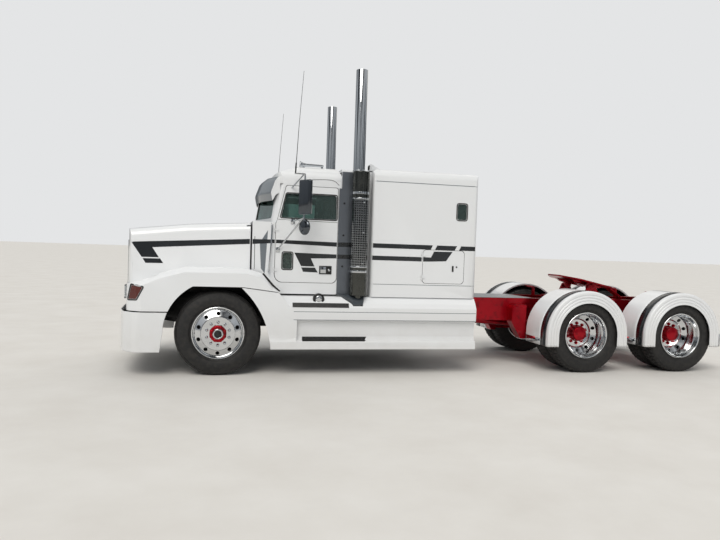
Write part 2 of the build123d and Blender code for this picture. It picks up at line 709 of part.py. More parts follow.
def mufflers():
    """Guarded mufflers, brackets to the sleeper neck and elbows under them."""
    can = MUFFLER_R - 4
    profile = [(MUFFLER_BOTTOM, 0), (MUFFLER_BOTTOM, can - 6), (MUFFLER_BOTTOM + 6, can), (GUARD_LOW - 4, can),
               (GUARD_LOW, MUFFLER_R), (GUARD_HIGH, MUFFLER_R), (GUARD_HIGH + 4, can), (MUFFLER_TOP - 6, can),
               (MUFFLER_TOP, can - 6), (MUFFLER_TOP, 0)]
    face = make_face(Polyline(*[(r, z) for z, r in profile], close=True))
    body = Pos(MUFFLER_X, STACK_Y, 0) * revolve(Plane.XZ * face, Axis.Z, 360)
    for z in (1330, 2360):
        body += block((MUFFLER_X - 30, NECK_HALF + 0.2, z - 25), (MUFFLER_X + 30, STACK_Y - 90, z + 25))
    body += rod((MUFFLER_X, STACK_Y, 780), (MUFFLER_X, STACK_Y, MUFFLER_BOTTOM + 5), 62)
    body += rod((MUFFLER_X, STACK_Y + 62, 780), (MUFFLER_X, RAIL_Y + SEAT_GAP, 780), 62)
    return both_sides(body)


def stacks():
    """Straight pipes on the mufflers, ahead of their middles, open for a hand's depth at the top."""
    pipe = rod((STACK_X, STACK_Y, MUFFLER_TOP), (STACK_X, STACK_Y, STACK_TOP), STACK_R)
    pipe -= rod((STACK_X, STACK_Y, STACK_TOP - 160), (STACK_X, STACK_Y, STACK_TOP + 1), STACK_R - 3)
    return both_sides(pipe)


def roof_horns():
    """Two trumpet horns on the cab roof."""
    horns = []
    for y, length in ((300, 330), (-300, 290)):
        base = cab_roof_z(y) + 1
        mouth = -1060
        horn = rod((mouth, y, base + 88), (mouth - 40, y, base + 84), 52)
        horn += rod((mouth - 30, y, base + 84), (mouth - length, y, base + 66), 20)
        horn += block((mouth - 60, y - 14, base), (mouth - 20, y + 14, base + 70))
        horn += block((mouth - length + 10, y - 14, base), (mouth - length + 45, y + 14, base + 60))
        horns.append(horn)
    return horns


def cab_roof_z(y):
    """Height of the roof beside the centre line, where the horns stand."""
    return ROOF_Z - 25 * abs(y) / (CAB_HALF - TUMBLEHOME)


# Skirts


def skirt_section(waisted):
    """Thin cross-section of a side skirt, hollowed at the waist above its foot or plain."""
    out, wall = SKIRT_OUT, SKIRT_WALL
    top = [(1004, 1012), (1100, 1008), (1168, 932), (out, 874), (out, 826)]
    back = [(out - SKIRT_BACK, 866), (1158, 923), (1095, 1008 - wall), (1004, 1012 - wall)]
    if waisted:
        face = [(out - 6, 709), (out - 48, 694, 12), (out - 64, 600), (out - 64, 500, 30), (out - 50, 452),
                (out - 14, 446, 10), (out, 420), (out, 338)]
        inner = [(out - wall, 338), (out - wall, 414), (out - 22, 432), (out - 60, 440),
                 (out - 64 - wall, 496, 20), (out - 64 - wall, 600), (out - 58, 706, 10), (out - SKIRT_BACK, 721)]
    else:
        face = [(out - 6, 709), (out - 20, 480), (out, 430), (out, 338)]
        inner = [(out - wall, 338), (out - wall, 428), (out - 20 - wall, 478), (out - SKIRT_BACK, 709)]
    return top + face + inner + back


def skirt():
    """Left side skirt from the wheel arch to the sleeper's rear, hollow-waisted behind its front panel."""
    out, wall = SKIRT_OUT, SKIRT_WALL
    body = cross_prism(skirt_section(True), SKIRT_REAR, WAIST_FRONT)
    body += cross_prism(skirt_section(False), WAIST_FRONT, -200)
    body += cross_prism([(out - 64 - wall, 500), (out - 64 - wall, 600), (out - 58, 706), (out - 8, 709),
                         (out - 22, 480), (out - 22, 432), (out - 60, 440)], WAIST_FRONT, WAIST_FRONT + wall)
    body += side_prism([(-200, 826), (-200, 1104), (-300, 1104), (-738, 1050), (-892, 854), (-900, 826)],
                       out - wall, out)
    body += side_prism([(-738, 1050), (-892, 854), (-878, 846), (-722, 1044)], 1004, out)
    wheel_side = make_face([ThreePointArc((-250, 1125), (-500, 825), (-650, 330)),
                            Line((-650, 330), (-100, 330)), Line((-100, 330), (-100, 1125)),
                            Line((-100, 1125), (-250, 1125))])
    body -= extrude(Plane.XZ.offset(-1300) * wheel_side, amount=400)
    body -= rod((MUFFLER_X, STACK_Y, 850), (MUFFLER_X, STACK_Y, 1100), 68)
    body += block((SKIRT_REAR, 1004, 700), (SKIRT_REAR + 8, out - 70, 1000)) & cross_prism(
        [(1004, 1010), (1098, 1004), (1160, 925), (out - 8, 860), (out - 8, 700), (1004, 700)],
        SKIRT_REAR, SKIRT_REAR + 8)
    return max(body.solids(), key=lambda s: s.volume)


WAIST_FRONT = -975


def step_treads():
    """Black treads on the shoulder and on the foot of each skirt."""
    out = SKIRT_OUT
    upper = cross_prism([(1170.3, 928.6), (out + 0.3, 874.1), (out + 5, 876.5), (1175, 931)], -1640, -912)
    lower = cross_prism([(out - 49.6, 452.2), (out - 14.2, 446.3), (out - 13.4, 451), (out - 48.8, 457)],
                        -1878, -1050)
    return both_sides(upper) + both_sides(lower)


def tanks():
    """Round fuel tanks under the sleeper, held to the rails by straps."""
    y = RAIL_Y + 46 + TANK_R
    tank = Pos((TANK_FRONT + TANK_REAR) / 2, y, 672) * Rot(0, 90, 0) * Cylinder(TANK_R, TANK_FRONT - TANK_REAR)
    tank = fillet(tank.edges().filter_by(GeomType.CIRCLE), 30)
    for x in (TANK_FRONT - 250, TANK_REAR + 250):
        bracket = block((x - 30, RAIL_Y + SEAT_GAP, 560), (x + 30, y - 180, 900))
        tank += bracket
    return both_sides(tank)


# Engine and running gear


def engine():
    """Engine, bell housing and gearbox as one plain block, on the rails."""
    body = block((-380, -330, 660), (800, 330, RAIL_TOP))
    body += block((-380, -400, RAIL_TOP), (800, 400, 1640))
    body += Pos(-860, 0, 830) * Rot(0, 90, 0) * Cylinder(190, 980)
    return body


def radiator():
    """Radiator with its tanks, between the rails' front ends."""
    low = HORN_TOP + SEAT_GAP
    return block((900, -470, 1010), (1010, 470, 1660)) + block((945, -300, low), (1000, 300, 1020))


def drive_shafts():
    """Shafts from the gearbox to both drive axles."""
    first = rod((-1353.3, 0, 760), (AXLE_1_X + 261.3, 0, AXLE_Z + 20), 52)
    link = rod((AXLE_1_X - 232, 0, AXLE_Z), (AXLE_2_X + 260, 0, AXLE_Z + 1), 45)
    return [first, link]


def front_axle():
    """Dropped beam of the steering axle with a kingpin eye at each end."""
    low, high = AXLE_Z - BOSS_HALF, AXLE_Z + BOSS_HALF
    beam = cross_prism([(-KINGPIN_Y, AXLE_Z - 45), (-640, AXLE_Z - 130, 120), (640, AXLE_Z - 130, 120),
                        (KINGPIN_Y, AXLE_Z - 45), (KINGPIN_Y, AXLE_Z + 45), (600, AXLE_Z - 20, 120),
                        (-600, AXLE_Z - 20, 120), (-KINGPIN_Y, AXLE_Z + 45)], -42, 42)
    for y in (KINGPIN_Y, -KINGPIN_Y):
        beam += rod((0, y, low), (0, y, high), BOSS_R)
        beam -= rod((0, y, low - 1), (0, y, high + 1), KINGPIN_R + RUNNING)
    return beam


def knuckle(sign):
    """Left or right knuckle: yoke round the beam's eye, kingpin, spindle and steering arm."""
    y = KINGPIN_Y * sign
    low, high = AXLE_Z - BOSS_HALF - 3, AXLE_Z + BOSS_HALF + 3
    top = rod((0, y, high), (0, y, high + YOKE_PLATE), 52)
    bottom = rod((0, y, low - YOKE_PLATE), (0, y, low), 52)
    pin = rod((0, y, low - 5), (0, y, high + 5), KINGPIN_R)
    near, far = y + sign * 52, y + sign * 92
    web = block((-50, min(near, far), low - YOKE_PLATE), (50, max(near, far), high + YOKE_PLATE))
    caps = [block((-50, min(y, near), z), (50, max(y, near), z + YOKE_PLATE)) for z in (high, low - YOKE_PLATE)]
    spindle_end = (FRONT_WHEEL_Y + DISC_OFFSET + 30) * sign
    spindle = rod((0, far - sign, AXLE_Z), (0, spindle_end, AXLE_Z), HUB_BORE_R)
    arm_z = low - YOKE_PLATE
    arm = block((-STEER_ARM, y - 24, arm_z), (0, y + 24, arm_z + 26)) + rod(
        (-STEER_ARM, y, arm_z), (-STEER_ARM, y, arm_z + 26), 28)
    arm -= rod((-STEER_ARM, y, arm_z - 1), (-STEER_ARM, y, arm_z + 27), 12 if sign > 0 else 13)
    return joined([top, bottom, pin, web] + caps + [spindle, arm])


def tie_rod():
    """Tie rod behind the axle, with a stud up into each steering arm."""
    arm_z = AXLE_Z - BOSS_HALF - 3 - YOKE_PLATE
    z = arm_z - 22
    body = rod((-STEER_ARM, -KINGPIN_Y, z), (-STEER_ARM, KINGPIN_Y, z), 15)
    for y in (KINGPIN_Y, -KINGPIN_Y):
        body += rod((-STEER_ARM, y, z - 18), (-STEER_ARM, y, arm_z - 0.5), 22)
        body += rod((-STEER_ARM, y, z), (-STEER_ARM, y, arm_z + 26), 12 - RUNNING)
    return body


def suspension():
    """Front leaf springs, and rear trailing leaves with their air bags."""
    beam_top = AXLE_Z - 20
    front = side_prism([(-700, 649.7), (-560, 649.7), (-50, beam_top + 70), (50, beam_top + 70), (560, 649.7),
                        (700, 649.7), (700, 610), (90, beam_top + 0.3), (-90, beam_top + 0.3), (-700, 610)],
                       RAIL_Y - 85, RAIL_Y - 5)
    pieces = both_sides(front)
    for axle in (AXLE_1_X, AXLE_2_X):
        leaf_top = AXLE_Z - 65.3
        arm = side_prism([(axle + 619.7, 430), (axle + 619.7, leaf_top), (axle - 420, leaf_top),
                          (axle - 420, 430)], RAIL_Y + 8, RAIL_Y + 88)
        foot = block((axle - 420, RAIL_Y - 130, 430), (axle - 180, RAIL_Y + 88, leaf_top))
        bag = rod((axle - 300, RAIL_Y - 30, leaf_top), (axle - 300, RAIL_Y - 30, RAIL_BOTTOM - SEAT_GAP), 100)
        pieces += both_sides(arm + foot + bag)
    return pieces


def drive_axles():
    """Drive axle housings with their differential bowls and spindles."""
    axles = []
    for x in (AXLE_1_X, AXLE_2_X):
        tube = rod((x, -700, AXLE_Z), (x, 700, AXLE_Z), 65)
        spindle_y = DUAL_OUTER_Y - DISC_OFFSET + 70
        spindle = rod((x, -spindle_y, AXLE_Z), (x, spindle_y, AXLE_Z), HUB_BORE_R)
        bowl = turned([(-190, 0), (-190, 110), (-90, 205), (90, 205), (190, 110), (190, 0)], x, AXLE_Z)
        snout = rod((x + 150, 0, AXLE_Z + 20), (x + 258, 0, AXLE_Z + 20), 80)
        drum = [rod((x, y, AXLE_Z), (x, y + 45, AXLE_Z), 195) for y in (545, -590)]
        tail = rod((x - 150, 0, AXLE_Z), (x - 231.7, 0, AXLE_Z), 60)
        axles.append(joined([tube, spindle, bowl, snout, tail] + drum))
    return axles


def tyre(x, y):
    """Tyre as a ring of tread, shoulders, bulging walls and beads."""
    half = [(TREAD_HALF - 14, TYRE_R), (TREAD_HALF + 8, TYRE_R - 28), (TYRE_HALF, TYRE_R - 100),
            (TYRE_HALF - 12, LIP_R + 32), (RIM_SEAT_HALF - SEAT_GAP, LIP_R + 1),
            (RIM_SEAT_HALF - SEAT_GAP, BEAD_R + SEAT_GAP)]
    profile = half + [(-a, r) for a, r in reversed(half)]
    return turned(profile, x, AXLE_Z, y)


def rim_profile(sign, outset):
    """Rim and disc section of one wheel; the disc stands outset to the side given by sign."""
    wall = RIM_WALL
    barrel = [(RIM_HALF, LIP_R), (RIM_SEAT_HALF, LIP_R), (RIM_SEAT_HALF, BEAD_R), (60, 305), (35, 284),
              (-60, 284), (-85, 305), (-RIM_SEAT_HALF, BEAD_R), (-RIM_SEAT_HALF, LIP_R), (-RIM_HALF, LIP_R),
              (-RIM_HALF, BEAD_R - wall), (-80, 294), (-55, 284 - wall), (30, 284 - wall), (62, 294),
              (RIM_HALF, BEAD_R - wall)]
    disc = [(20, 280), (90, 284), (112, 276), (146, 214), (outset, 206), (outset, 60), (outset - DISC_THICK, 60),
            (outset - DISC_THICK, 190), (124, 200), (90, 264), (20, 272)]
    return [(sign * a, r) for a, r in barrel], [(sign * a, r) for a, r in disc]


def wheel_disc(x, y, sign):
    """Rim and disc with hand holes, centred on the tyre's middle plane at y."""
    barrel, disc = rim_profile(sign, DISC_OFFSET)
    body = turned(barrel, x, AXLE_Z, y) + turned(disc, x, AXLE_Z, y)
    for i in range(HAND_HOLES):
        angle = 2 * pi * (i + 0.5) / HAND_HOLES
        hx, hz = x + HAND_HOLE_PCR * cos(angle), AXLE_Z + HAND_HOLE_PCR * sin(angle)
        body -= rod((hx, y, hz), (hx, y + sign * 200, hz), HAND_HOLE_R)
    return body


def hub(x, y_in, y_face, y_out, sign):
    """Hub barrel with a flange and a closed cap, bored for its spindle."""
    profile = [(y_in, HUB_BORE_R + RUNNING), (y_in, 80), (y_face - 60, 95), (y_face - 24, 95), (y_face - 24, 165),
               (y_face, 165), (y_face, HUB_R), (y_out - 40, HUB_R), (y_out - 20, 85), (y_out, 60), (y_out, 0),
               (y_out - 30, 0), (y_out - 30, HUB_BORE_R + RUNNING)]
    return turned([(sign * a, r) for a, r in profile], x, AXLE_Z)


def front_wheel(sign):
    """Steering wheel of the truck: one wheel on its hub, disc outwards."""
    face = FRONT_WHEEL_Y + DISC_OFFSET - DISC_THICK
    cap = FRONT_WHEEL_Y + DISC_OFFSET + 62
    return wheel_disc(0, sign * FRONT_WHEEL_Y, sign) + hub(0, FRONT_WHEEL_Y + 10, face, cap, sign)


def dual_wheel(x, sign):
    """Twin wheels back to back on one hub, the outer one deep-dished."""
    face = DUAL_OUTER_Y - DISC_OFFSET
    outer = wheel_disc(x, sign * DUAL_OUTER_Y, -sign)
    inner = wheel_disc(x, sign * DUAL_INNER_Y, sign)
    return outer + inner + hub(x, face - 200, face - DISC_THICK, face + 130, sign)


def dual_tyres(x, sign):
    """The two tyres of one end of a drive axle."""
    return [tyre(x, sign * DUAL_OUTER_Y), tyre(x, sign * DUAL_INNER_Y)]


# Round fenders and fifth wheel


def round_fender(x):
    """Half-round fender: a broad band, a narrow inner lip and a deep ribbed outer face with straight legs."""
    out, low, s = ROUND_OUTER_Y, ROUND_INNER_Y, ROUND_SHEET
    section = [(low, ROUND_R - ROUND_LIP), (low, ROUND_R), (out - 28, ROUND_R), (out - 8, ROUND_R - 8),
               (out, ROUND_R - 30), (out, ROUND_R - 62), (out - 7, ROUND_R - 68), (out, ROUND_R - 74),
               (out, ROUND_R - 106), (out - 7, ROUND_R - 112), (out, ROUND_R - 118), (out, ROUND_LIP_R),
               (out - 12, ROUND_LIP_R), (out - 12, ROUND_R - 30), (out - 32, ROUND_R - s), (low + s, ROUND_R - s),
               (low + s, ROUND_R - ROUND_LIP)]
    face = make_face(Polyline(*[(r, y) for y, r in section], close=True))
    arc = revolve(Plane.XY * face, Axis.Y, -180)
    legs = [extrude(Plane.XY * face, amount=-(AXLE_Z - ROUND_LEG_Z)),
            extrude(Plane.XY * mirror(face, Plane.YZ), amount=-(AXLE_Z - ROUND_LEG_Z))]
    return Pos(x, 0, AXLE_Z) * joined([arc] + legs)


def round_fenders():
    """The four round fenders."""
    pieces = []
    for x in (AXLE_1_X, AXLE_2_X):
        pieces += both_sides(round_fender(x))
    return pieces


def fifth_wheel_stand():
    """Angles on the rails and the two bearing brackets with their pins."""
    angle = block((FIFTH_X - 420, RAIL_Y - 92, RAIL_TOP), (FIFTH_X + 420, RAIL_Y - 2, RAIL_TOP + 14))
    ear = side_prism([(FIFTH_X - 150, RAIL_TOP + 14), (FIFTH_X + 150, RAIL_TOP + 14),
                      (FIFTH_X + 60, FIFTH_PIN_Z + 34, 30),
                      (FIFTH_X - 60, FIFTH_PIN_Z + 34, 30)], RAIL_Y - 75, RAIL_Y - 45)
    pin = rod((FIFTH_X, RAIL_Y - 140, FIFTH_PIN_Z), (FIFTH_X, RAIL_Y - 40, FIFTH_PIN_Z), FIFTH_PIN_R)
    return both_sides(angle + ear + pin)


def fifth_wheel_plate():
    """Top plate with throat, jaw ring, ramps and side ribs, resting tail down on its pins."""
    top = FIFTH_PIN_Z + 84
    outline = [(FIFTH_X + 470, -170, 60), (FIFTH_X + 470, 170, 60), (FIFTH_X + 260, 458, 120),
               (FIFTH_X - 300, 458, 60), (FIFTH_X - 380, 330, 40), (FIFTH_X - 380, -330, 40),
               (FIFTH_X - 300, -458, 60), (FIFTH_X + 260, -458, 120)]
    plate = plan_prism(outline, top - FIFTH_PLATE, top)
    jaw_x = FIFTH_X - JAW_BACK
    throat = plan_prism([(FIFTH_X - 400, -190), (jaw_x - 70, -32), (jaw_x - 70, 32), (FIFTH_X - 400, 190)],
                        top - 100, top + 1)
    plate -= throat
    plate += rod((jaw_x, 0, top - 62), (jaw_x, 0, top), 75)
    plate -= rod((jaw_x, 0, top - 70), (jaw_x, 0, top + 1), JAW_R)
    for y in (180, -250):
        plate += side_prism([(FIFTH_X - 300, top - 5), (FIFTH_X + 330, top - 5), (FIFTH_X + 200, top - 62),
                             (FIFTH_X - 200, top - 62)], y, y + 70)
    ramp = side_prism([(FIFTH_X - 340, top), (FIFTH_X - 600, top - 110), (FIFTH_X - 600, top - 132),
                       (FIFTH_X - 340, top - FIFTH_PLATE)], 200, 330)
    plate += ramp + mirror(ramp, Plane.XZ)
    lug_y = RAIL_Y - 138
    lug = side_prism([(FIFTH_X - 70, top - 10), (FIFTH_X + 70, top - 10), (FIFTH_X + 44, FIFTH_PIN_Z - 40, 30),
                      (FIFTH_X - 44, FIFTH_PIN_Z - 40, 30)], lug_y, RAIL_Y - 82)
    lug -= rod((FIFTH_X, lug_y - 1, FIFTH_PIN_Z), (FIFTH_X, RAIL_Y - 80, FIFTH_PIN_Z), FIFTH_PIN_R + RUNNING)
    plate += lug + mirror(lug, Plane.XZ)
    turn = Pos(FIFTH_X, 0, FIFTH_PIN_Z) * Rot(0, -FIFTH_TILT, 0) * Pos(-FIFTH_X, 0, -FIFTH_PIN_Z)
    return turn * plate


def tail_panel():
    """Full-width light panel hung from the end of the frame."""
    body = block((TAIL_X, -1195, 368), (PANEL_FRONT_X - SEAT_GAP, 1195, 545))
    return body


def mirror_unit(sign):
    """Door mirror turned to the driver: upright head, round lower mirror, three arms and the antenna."""
    def at(x, y, z):
        return (x, sign * y, z)
    post_x, post_y, turn = -1010, 1290, sign * MIRROR_TURN
    head = Pos(*at(-1020, 1294.5, 2262)) * Rot(0, 0, turn) * Box(57, 216, 435)
    spot = Pos(*at(-1013, 1290, 1887)) * Rot(0, 0, turn) * Rot(0, 90, 0) * Cylinder(100, 40)
    post = rod(at(post_x, post_y, 1900), at(post_x, post_y, 2560), 11)
    upper = rod(at(post_x, post_y, 2545), at(-880, 955, 2395), 10)
    low_in = rod(at(post_x, post_y, 2000), at(-900, 990, 1965), 10)
    brace = rod(at(post_x, post_y, 2010), at(-716, 992, 1590), 10)
    bar = rod(at(post_x, post_y, 2548), at(-880, post_y, 2548), 9)
    antenna = rod(at(-888, post_y, 2540), at(-958, post_y, 3820), 5)
    body = joined([head, post, upper, low_in, brace, bar, spot, antenna])
    body -= cab_body(-SEAT_GAP)
    return max(body.solids(), key=lambda s: s.volume)


def main():
    """Build and write every node."""
    os.makedirs("parts", exist_ok=True)
    save("frame_rails", frame_rails())
    save("frame_brackets", frame_brackets())
    save("deck_plate", deck_plate())
    save("bumper", bumper())
    save("hood", hood())
    save("grille", grille())
    save("headlamps", headlamps())
    save("turn_lenses", turn_lenses())
    save("cab_shell", cab_shell())
    save("fixed_windows", fixed_windows())
    save("visor", visor())
    save("dash", dash())
    save("seats", seats())
    save("sleeper_shell", sleeper_shell())
    save("stack_panels", stack_panels())
    save("mufflers", mufflers())
    save("stacks", stacks())
    save("roof_horns", roof_horns())
    save("side_skirts", both_sides(skirt()))
    save("step_treads", step_treads())
    save("tanks", tanks())
    save("engine", engine())
    save("radiator", radiator())
    save("drive_shafts", drive_shafts())
    save("front_axle", front_axle())
    save("suspension", suspension())
    save("drive_axles", drive_axles())
    save("tie_rod", tie_rod())
    save("round_fenders", round_fenders())
    save("fifth_wheel_stand", fifth_wheel_stand())
    save("fifth_wheel_plate", fifth_wheel_plate())
    save("tail_panel", tail_panel())
    for side, sign in (("left", 1), ("right", -1)):
        save(f"door_{side}", door(sign))
        save(f"door_glass_{side}", door_glass(sign))
        save(f"mirror_{side}", mirror_unit(sign))
        save(f"hatch_{side}", hatch(sign))
        save(f"knuckle_{side}", knuckle(sign))
        save(f"front_tyre_{side}", tyre(0, sign * FRONT_WHEEL_Y))
        save(f"front_wheel_{side}", front_wheel(sign))
        for number, x in ((1, AXLE_1_X), (2, AXLE_2_X)):
            save(f"drive_tyres_{number}_{side}", dual_tyres(x, sign))
            save(f"drive_wheels_{number}_{side}", dual_wheel(x, sign))


main()
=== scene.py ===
"""Looks of a semi truck tractor unit: paint, glass, tyres, polished wheels, stacks, mirrors, stripes and trim.

Lengths in the functions below are millimetres: X forward from the front axle, Y to the truck's left, Z up from
the ground. Each mesh is moved to the row's frame, in metres, when it is made. What both sides have is written
for the left side, with {} for the side in its names, and is mirrored when it is made.
"""
import json
import math

import bmesh
import bpy
import numpy as np
from mathutils import Matrix, Vector

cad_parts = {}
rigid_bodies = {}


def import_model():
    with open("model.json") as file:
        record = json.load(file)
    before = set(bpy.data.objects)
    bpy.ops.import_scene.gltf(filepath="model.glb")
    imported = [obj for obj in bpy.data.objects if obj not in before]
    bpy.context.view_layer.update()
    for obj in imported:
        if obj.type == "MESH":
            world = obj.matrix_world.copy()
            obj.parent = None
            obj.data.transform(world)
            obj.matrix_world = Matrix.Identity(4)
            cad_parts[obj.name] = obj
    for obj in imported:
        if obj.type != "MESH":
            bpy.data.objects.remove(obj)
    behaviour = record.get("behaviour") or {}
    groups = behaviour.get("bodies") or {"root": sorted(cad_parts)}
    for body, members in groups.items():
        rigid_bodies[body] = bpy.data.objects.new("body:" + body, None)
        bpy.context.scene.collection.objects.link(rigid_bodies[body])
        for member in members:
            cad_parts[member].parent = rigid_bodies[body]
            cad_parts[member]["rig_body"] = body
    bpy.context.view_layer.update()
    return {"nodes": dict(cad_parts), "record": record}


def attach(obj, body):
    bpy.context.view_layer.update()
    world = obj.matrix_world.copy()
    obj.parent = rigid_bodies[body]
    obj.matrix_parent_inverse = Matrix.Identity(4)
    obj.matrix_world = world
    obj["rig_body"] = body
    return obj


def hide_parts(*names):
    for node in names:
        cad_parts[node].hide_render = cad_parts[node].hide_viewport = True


bl_info = {
    "name": "Tractor unit looks",
    "version": (1, 0, 0),
    "blender": (4, 5, 0),
    "location": "View3D > Sidebar > Tractor",
    "description": "Surfaces, paint and trim for the packed tractor unit",
    "category": "Object",
}

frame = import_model()
NODE_SLOTS = {part["node"]: part["material_slot"] for part in frame["record"]["subparts"]}

MM = 0.001
FULL_TURN = 2 * math.pi
FRONT_AXLE_X = 3075.0
AXLE_Z = 532.0
FRONT_WHEEL_Y = 1017.0
DUAL_OUTER_Y = 1090.0
DISC_OFFSET = 165.0
DUAL_INNER_Y = DUAL_OUTER_Y - 2 * DISC_OFFSET
DRIVE_X = (-5063.0, -6591.0)
STACK_X, STACK_Y, MUFFLER_X = -1732.0, 1110.0, -1766.0
GUARD_LOW, GUARD_HIGH, GUARD_R = 1402.0, 2290.0, 115.0
CAB_Y, SLEEPER_Y = 1000.0, 1120.0
THROW_FROM = 1320.0
ARC_STEPS = 5
SIDES = (("left", 1), ("right", -1))


# Colours and materials


def linear(code):
    """Linear colour with alpha 1 from an sRGB hex code such as 8A5A2B."""
    parts = [int(code[i:i + 2], 16) / 255 for i in (0, 2, 4)]
    return tuple(c / 12.92 if c <= 0.04045 else ((c + 0.055) / 1.055) ** 2.4 for c in parts) + (1.0,)


def add(tree, kind, links=None, **settings):
    """One node with its settings; links maps an input's name or number to another node's output."""
    made = tree.nodes.new("ShaderNode" + kind)
    for name, value in settings.items():
        if name.startswith("in_"):
            key = name[3:]
            made.inputs[int(key) if key.isdigit() else key.replace("_", " ")].default_value = value
        elif name == "stops":
            ramp = made.color_ramp
            while len(ramp.elements) < len(value):
                ramp.elements.new(0.5)
            for element, (place, colour) in zip(ramp.elements, value):
                element.position, element.color = place, linear(colour)
        else:
            setattr(made, name, value)
    for key, output in (links or {}).items():
        tree.links.new(output, made.inputs[key])
    return made


def object_place(tree):
    """The point on the piece in metres, in the row's frame."""
    return add(tree, "TexCoord").outputs["Object"]


def clouds(tree, scale, detail=2.0, roughness=0.5):
    """Noise on the piece's own point, in clouds of 1 / scale metres."""
    noise = add(tree, "TexNoise", {"Vector": object_place(tree)}, in_Scale=scale, in_Detail=detail,
                in_Roughness=roughness)
    return noise.outputs["Fac"]


def cells(tree, vector, turn, scale):
    """Distance from the middle of each cell of a square grid, after the vector is turned and scaled."""
    lie = add(tree, "Mapping", {"Vector": vector}, in_Rotation=(0, 0, turn), in_Scale=scale)
    cell = add(tree, "TexVoronoi", {"Vector": lie.outputs["Vector"]}, voronoi_dimensions="2D", in_Scale=1.0,
               in_Randomness=0.0)
    return cell.outputs["Distance"]


def shader_input(tree, name):
    """An input of the material's shader by its name."""
    return tree.nodes["Principled BSDF"].inputs[name]


def blend(tree, factor, code):
    """Mixes the base colour towards another tone, as far as the factor says."""
    base = shader_input(tree, "Base Color")
    links = {"Fac": factor}
    if base.is_linked:
        links["Color1"] = base.links[0].from_socket
    mix = add(tree, "MixRGB", links, in_Color1=tuple(base.default_value), in_Color2=linear(code))
    tree.links.new(mix.outputs["Color"], base)


def relief(tree, height, strength, distance):
    """A bump on the tree's shader from a height output."""
    bump = add(tree, "Bump", {"Height": height}, in_Strength=strength, in_Distance=distance)
    tree.links.new(bump.outputs["Normal"], shader_input(tree, "Normal"))


def finish(name, tint, roughness, metallic=0.0, ior=1.5, tone=None, smudge=None, grain=None, **inputs):
    """A new material from a hex code or a linear colour.

    tone is a second tone's code with the scale, start and end of its clouds, which are 1 / scale metres wide.
    smudge is the scale of clouds in the roughness with its lowest and highest value, and grain a bump's strength
    and depth with its texture's kind, output and settings. Other inputs of the shader come by their names.
    """
    colour = linear(tint) if isinstance(tint, str) else tuple(tint)
    material = bpy.data.materials.new(name)
    material.use_nodes = True
    material.diffuse_color = colour
    tree = material.node_tree
    inputs = {"Base_Color": colour, "Roughness": roughness, "Metallic": metallic, "Coat_Roughness": 0.05, **inputs}
    if metallic < 0.5:
        inputs["IOR"] = ior
    for key, value in inputs.items():
        shader_input(tree, key.replace("_", " ")).default_value = value
    if tone:
        code, scale, low, high = tone
        amount = add(tree, "MapRange", {"Value": clouds(tree, scale, 5.0, 0.6)}, in_1=low, in_2=high, in_3=1.0,
                     in_4=0.0)
        blend(tree, amount.outputs["Result"], code)
    if smudge:
        scale, low, high, detail, margin = (*smudge, 6.0, 0.35)[:5]
        spread = add(tree, "MapRange", {"Value": clouds(tree, scale, detail)}, in_1=margin, in_2=1 - margin,
                     in_3=low, in_4=high)
        tree.links.new(spread.outputs["Result"], shader_input(tree, "Roughness"))
    if grain:
        strength, distance, kind, output, settings = grain
        texture = add(tree, kind, {"Vector": object_place(tree)}, **settings)
        relief(tree, texture.outputs[output], strength, distance)
    return material


def road_dust(material):
    """Road dust in clouds over the lower metre of the body."""
    tree = material.node_tree
    height = add(tree, "SeparateXYZ", {"Vector": object_place(tree)})
    fade = add(tree, "MapRange", {"Value": height.outputs["Z"]}, in_1=0.28, in_2=0.95, in_3=0.34, in_4=0.0)
    amount = add(tree, "Math", {0: fade.outputs["Result"], 1: clouds(tree, 5.0, 8.0, 0.65)}, operation="MULTIPLY")
    blend(tree, amount.outputs["Value"], "A79B88")
    return material


def dark_ahead(material):
    """Ahead of the sleeper's rear wall the steel is blended to near-black: painted shade for the dark under the
    body.
    """
    tree = material.node_tree
    place = add(tree, "SeparateXYZ", {"Vector": object_place(tree)})
    ahead = add(tree, "MapRange", {"Value": place.outputs["X"]}, in_1=-0.42, in_2=-0.38, in_3=0.0, in_4=1.0)
    # near-black painted shade over the frame under the cab and hood
    blend(tree, ahead.outputs["Result"], "0D0D0E")
    return material


def turned_aluminium(name, code):
    """Forged aluminium polished on a lathe: very fine rings round the wheel catch the light."""
    material = finish(name, code, 0.13, metallic=1.0, smudge=(14.0, 0.09, 0.22))
    tree = material.node_tree
    # the wheel's own coordinates are its map: U runs round, V is the radius in metres
    rings = add(tree, "TexWave", {"Vector": add(tree, "UVMap").outputs["UV"]}, in_Scale=60.0, in_Distortion=0.4,
                bands_direction="Y")
    relief(tree, rings.outputs["Fac"], 0.06, 0.0004)
    return material


def perforated(name, code, pitch):
    """Bright guard with punched holes in square rows, laid out on the guard's own map in metres."""
    material = finish(name, code, 0.18, metallic=1.0)
    tree = material.node_tree
    # the real holes stand about 12 mm apart; they are drawn at over twice that so that they show
    middle = cells(tree, add(tree, "UVMap").outputs["UV"], 0.0, (1 / pitch,) * 3)
    hole = add(tree, "ValToRGB", {"Fac": middle}, stops=[(0.30, "0B0B0C"), (0.36, code)])
    tree.links.new(hole.outputs["Color"], shader_input(tree, "Base Color"))
    relief(tree, hole.outputs["Color"], 0.6, 0.002)
    return material


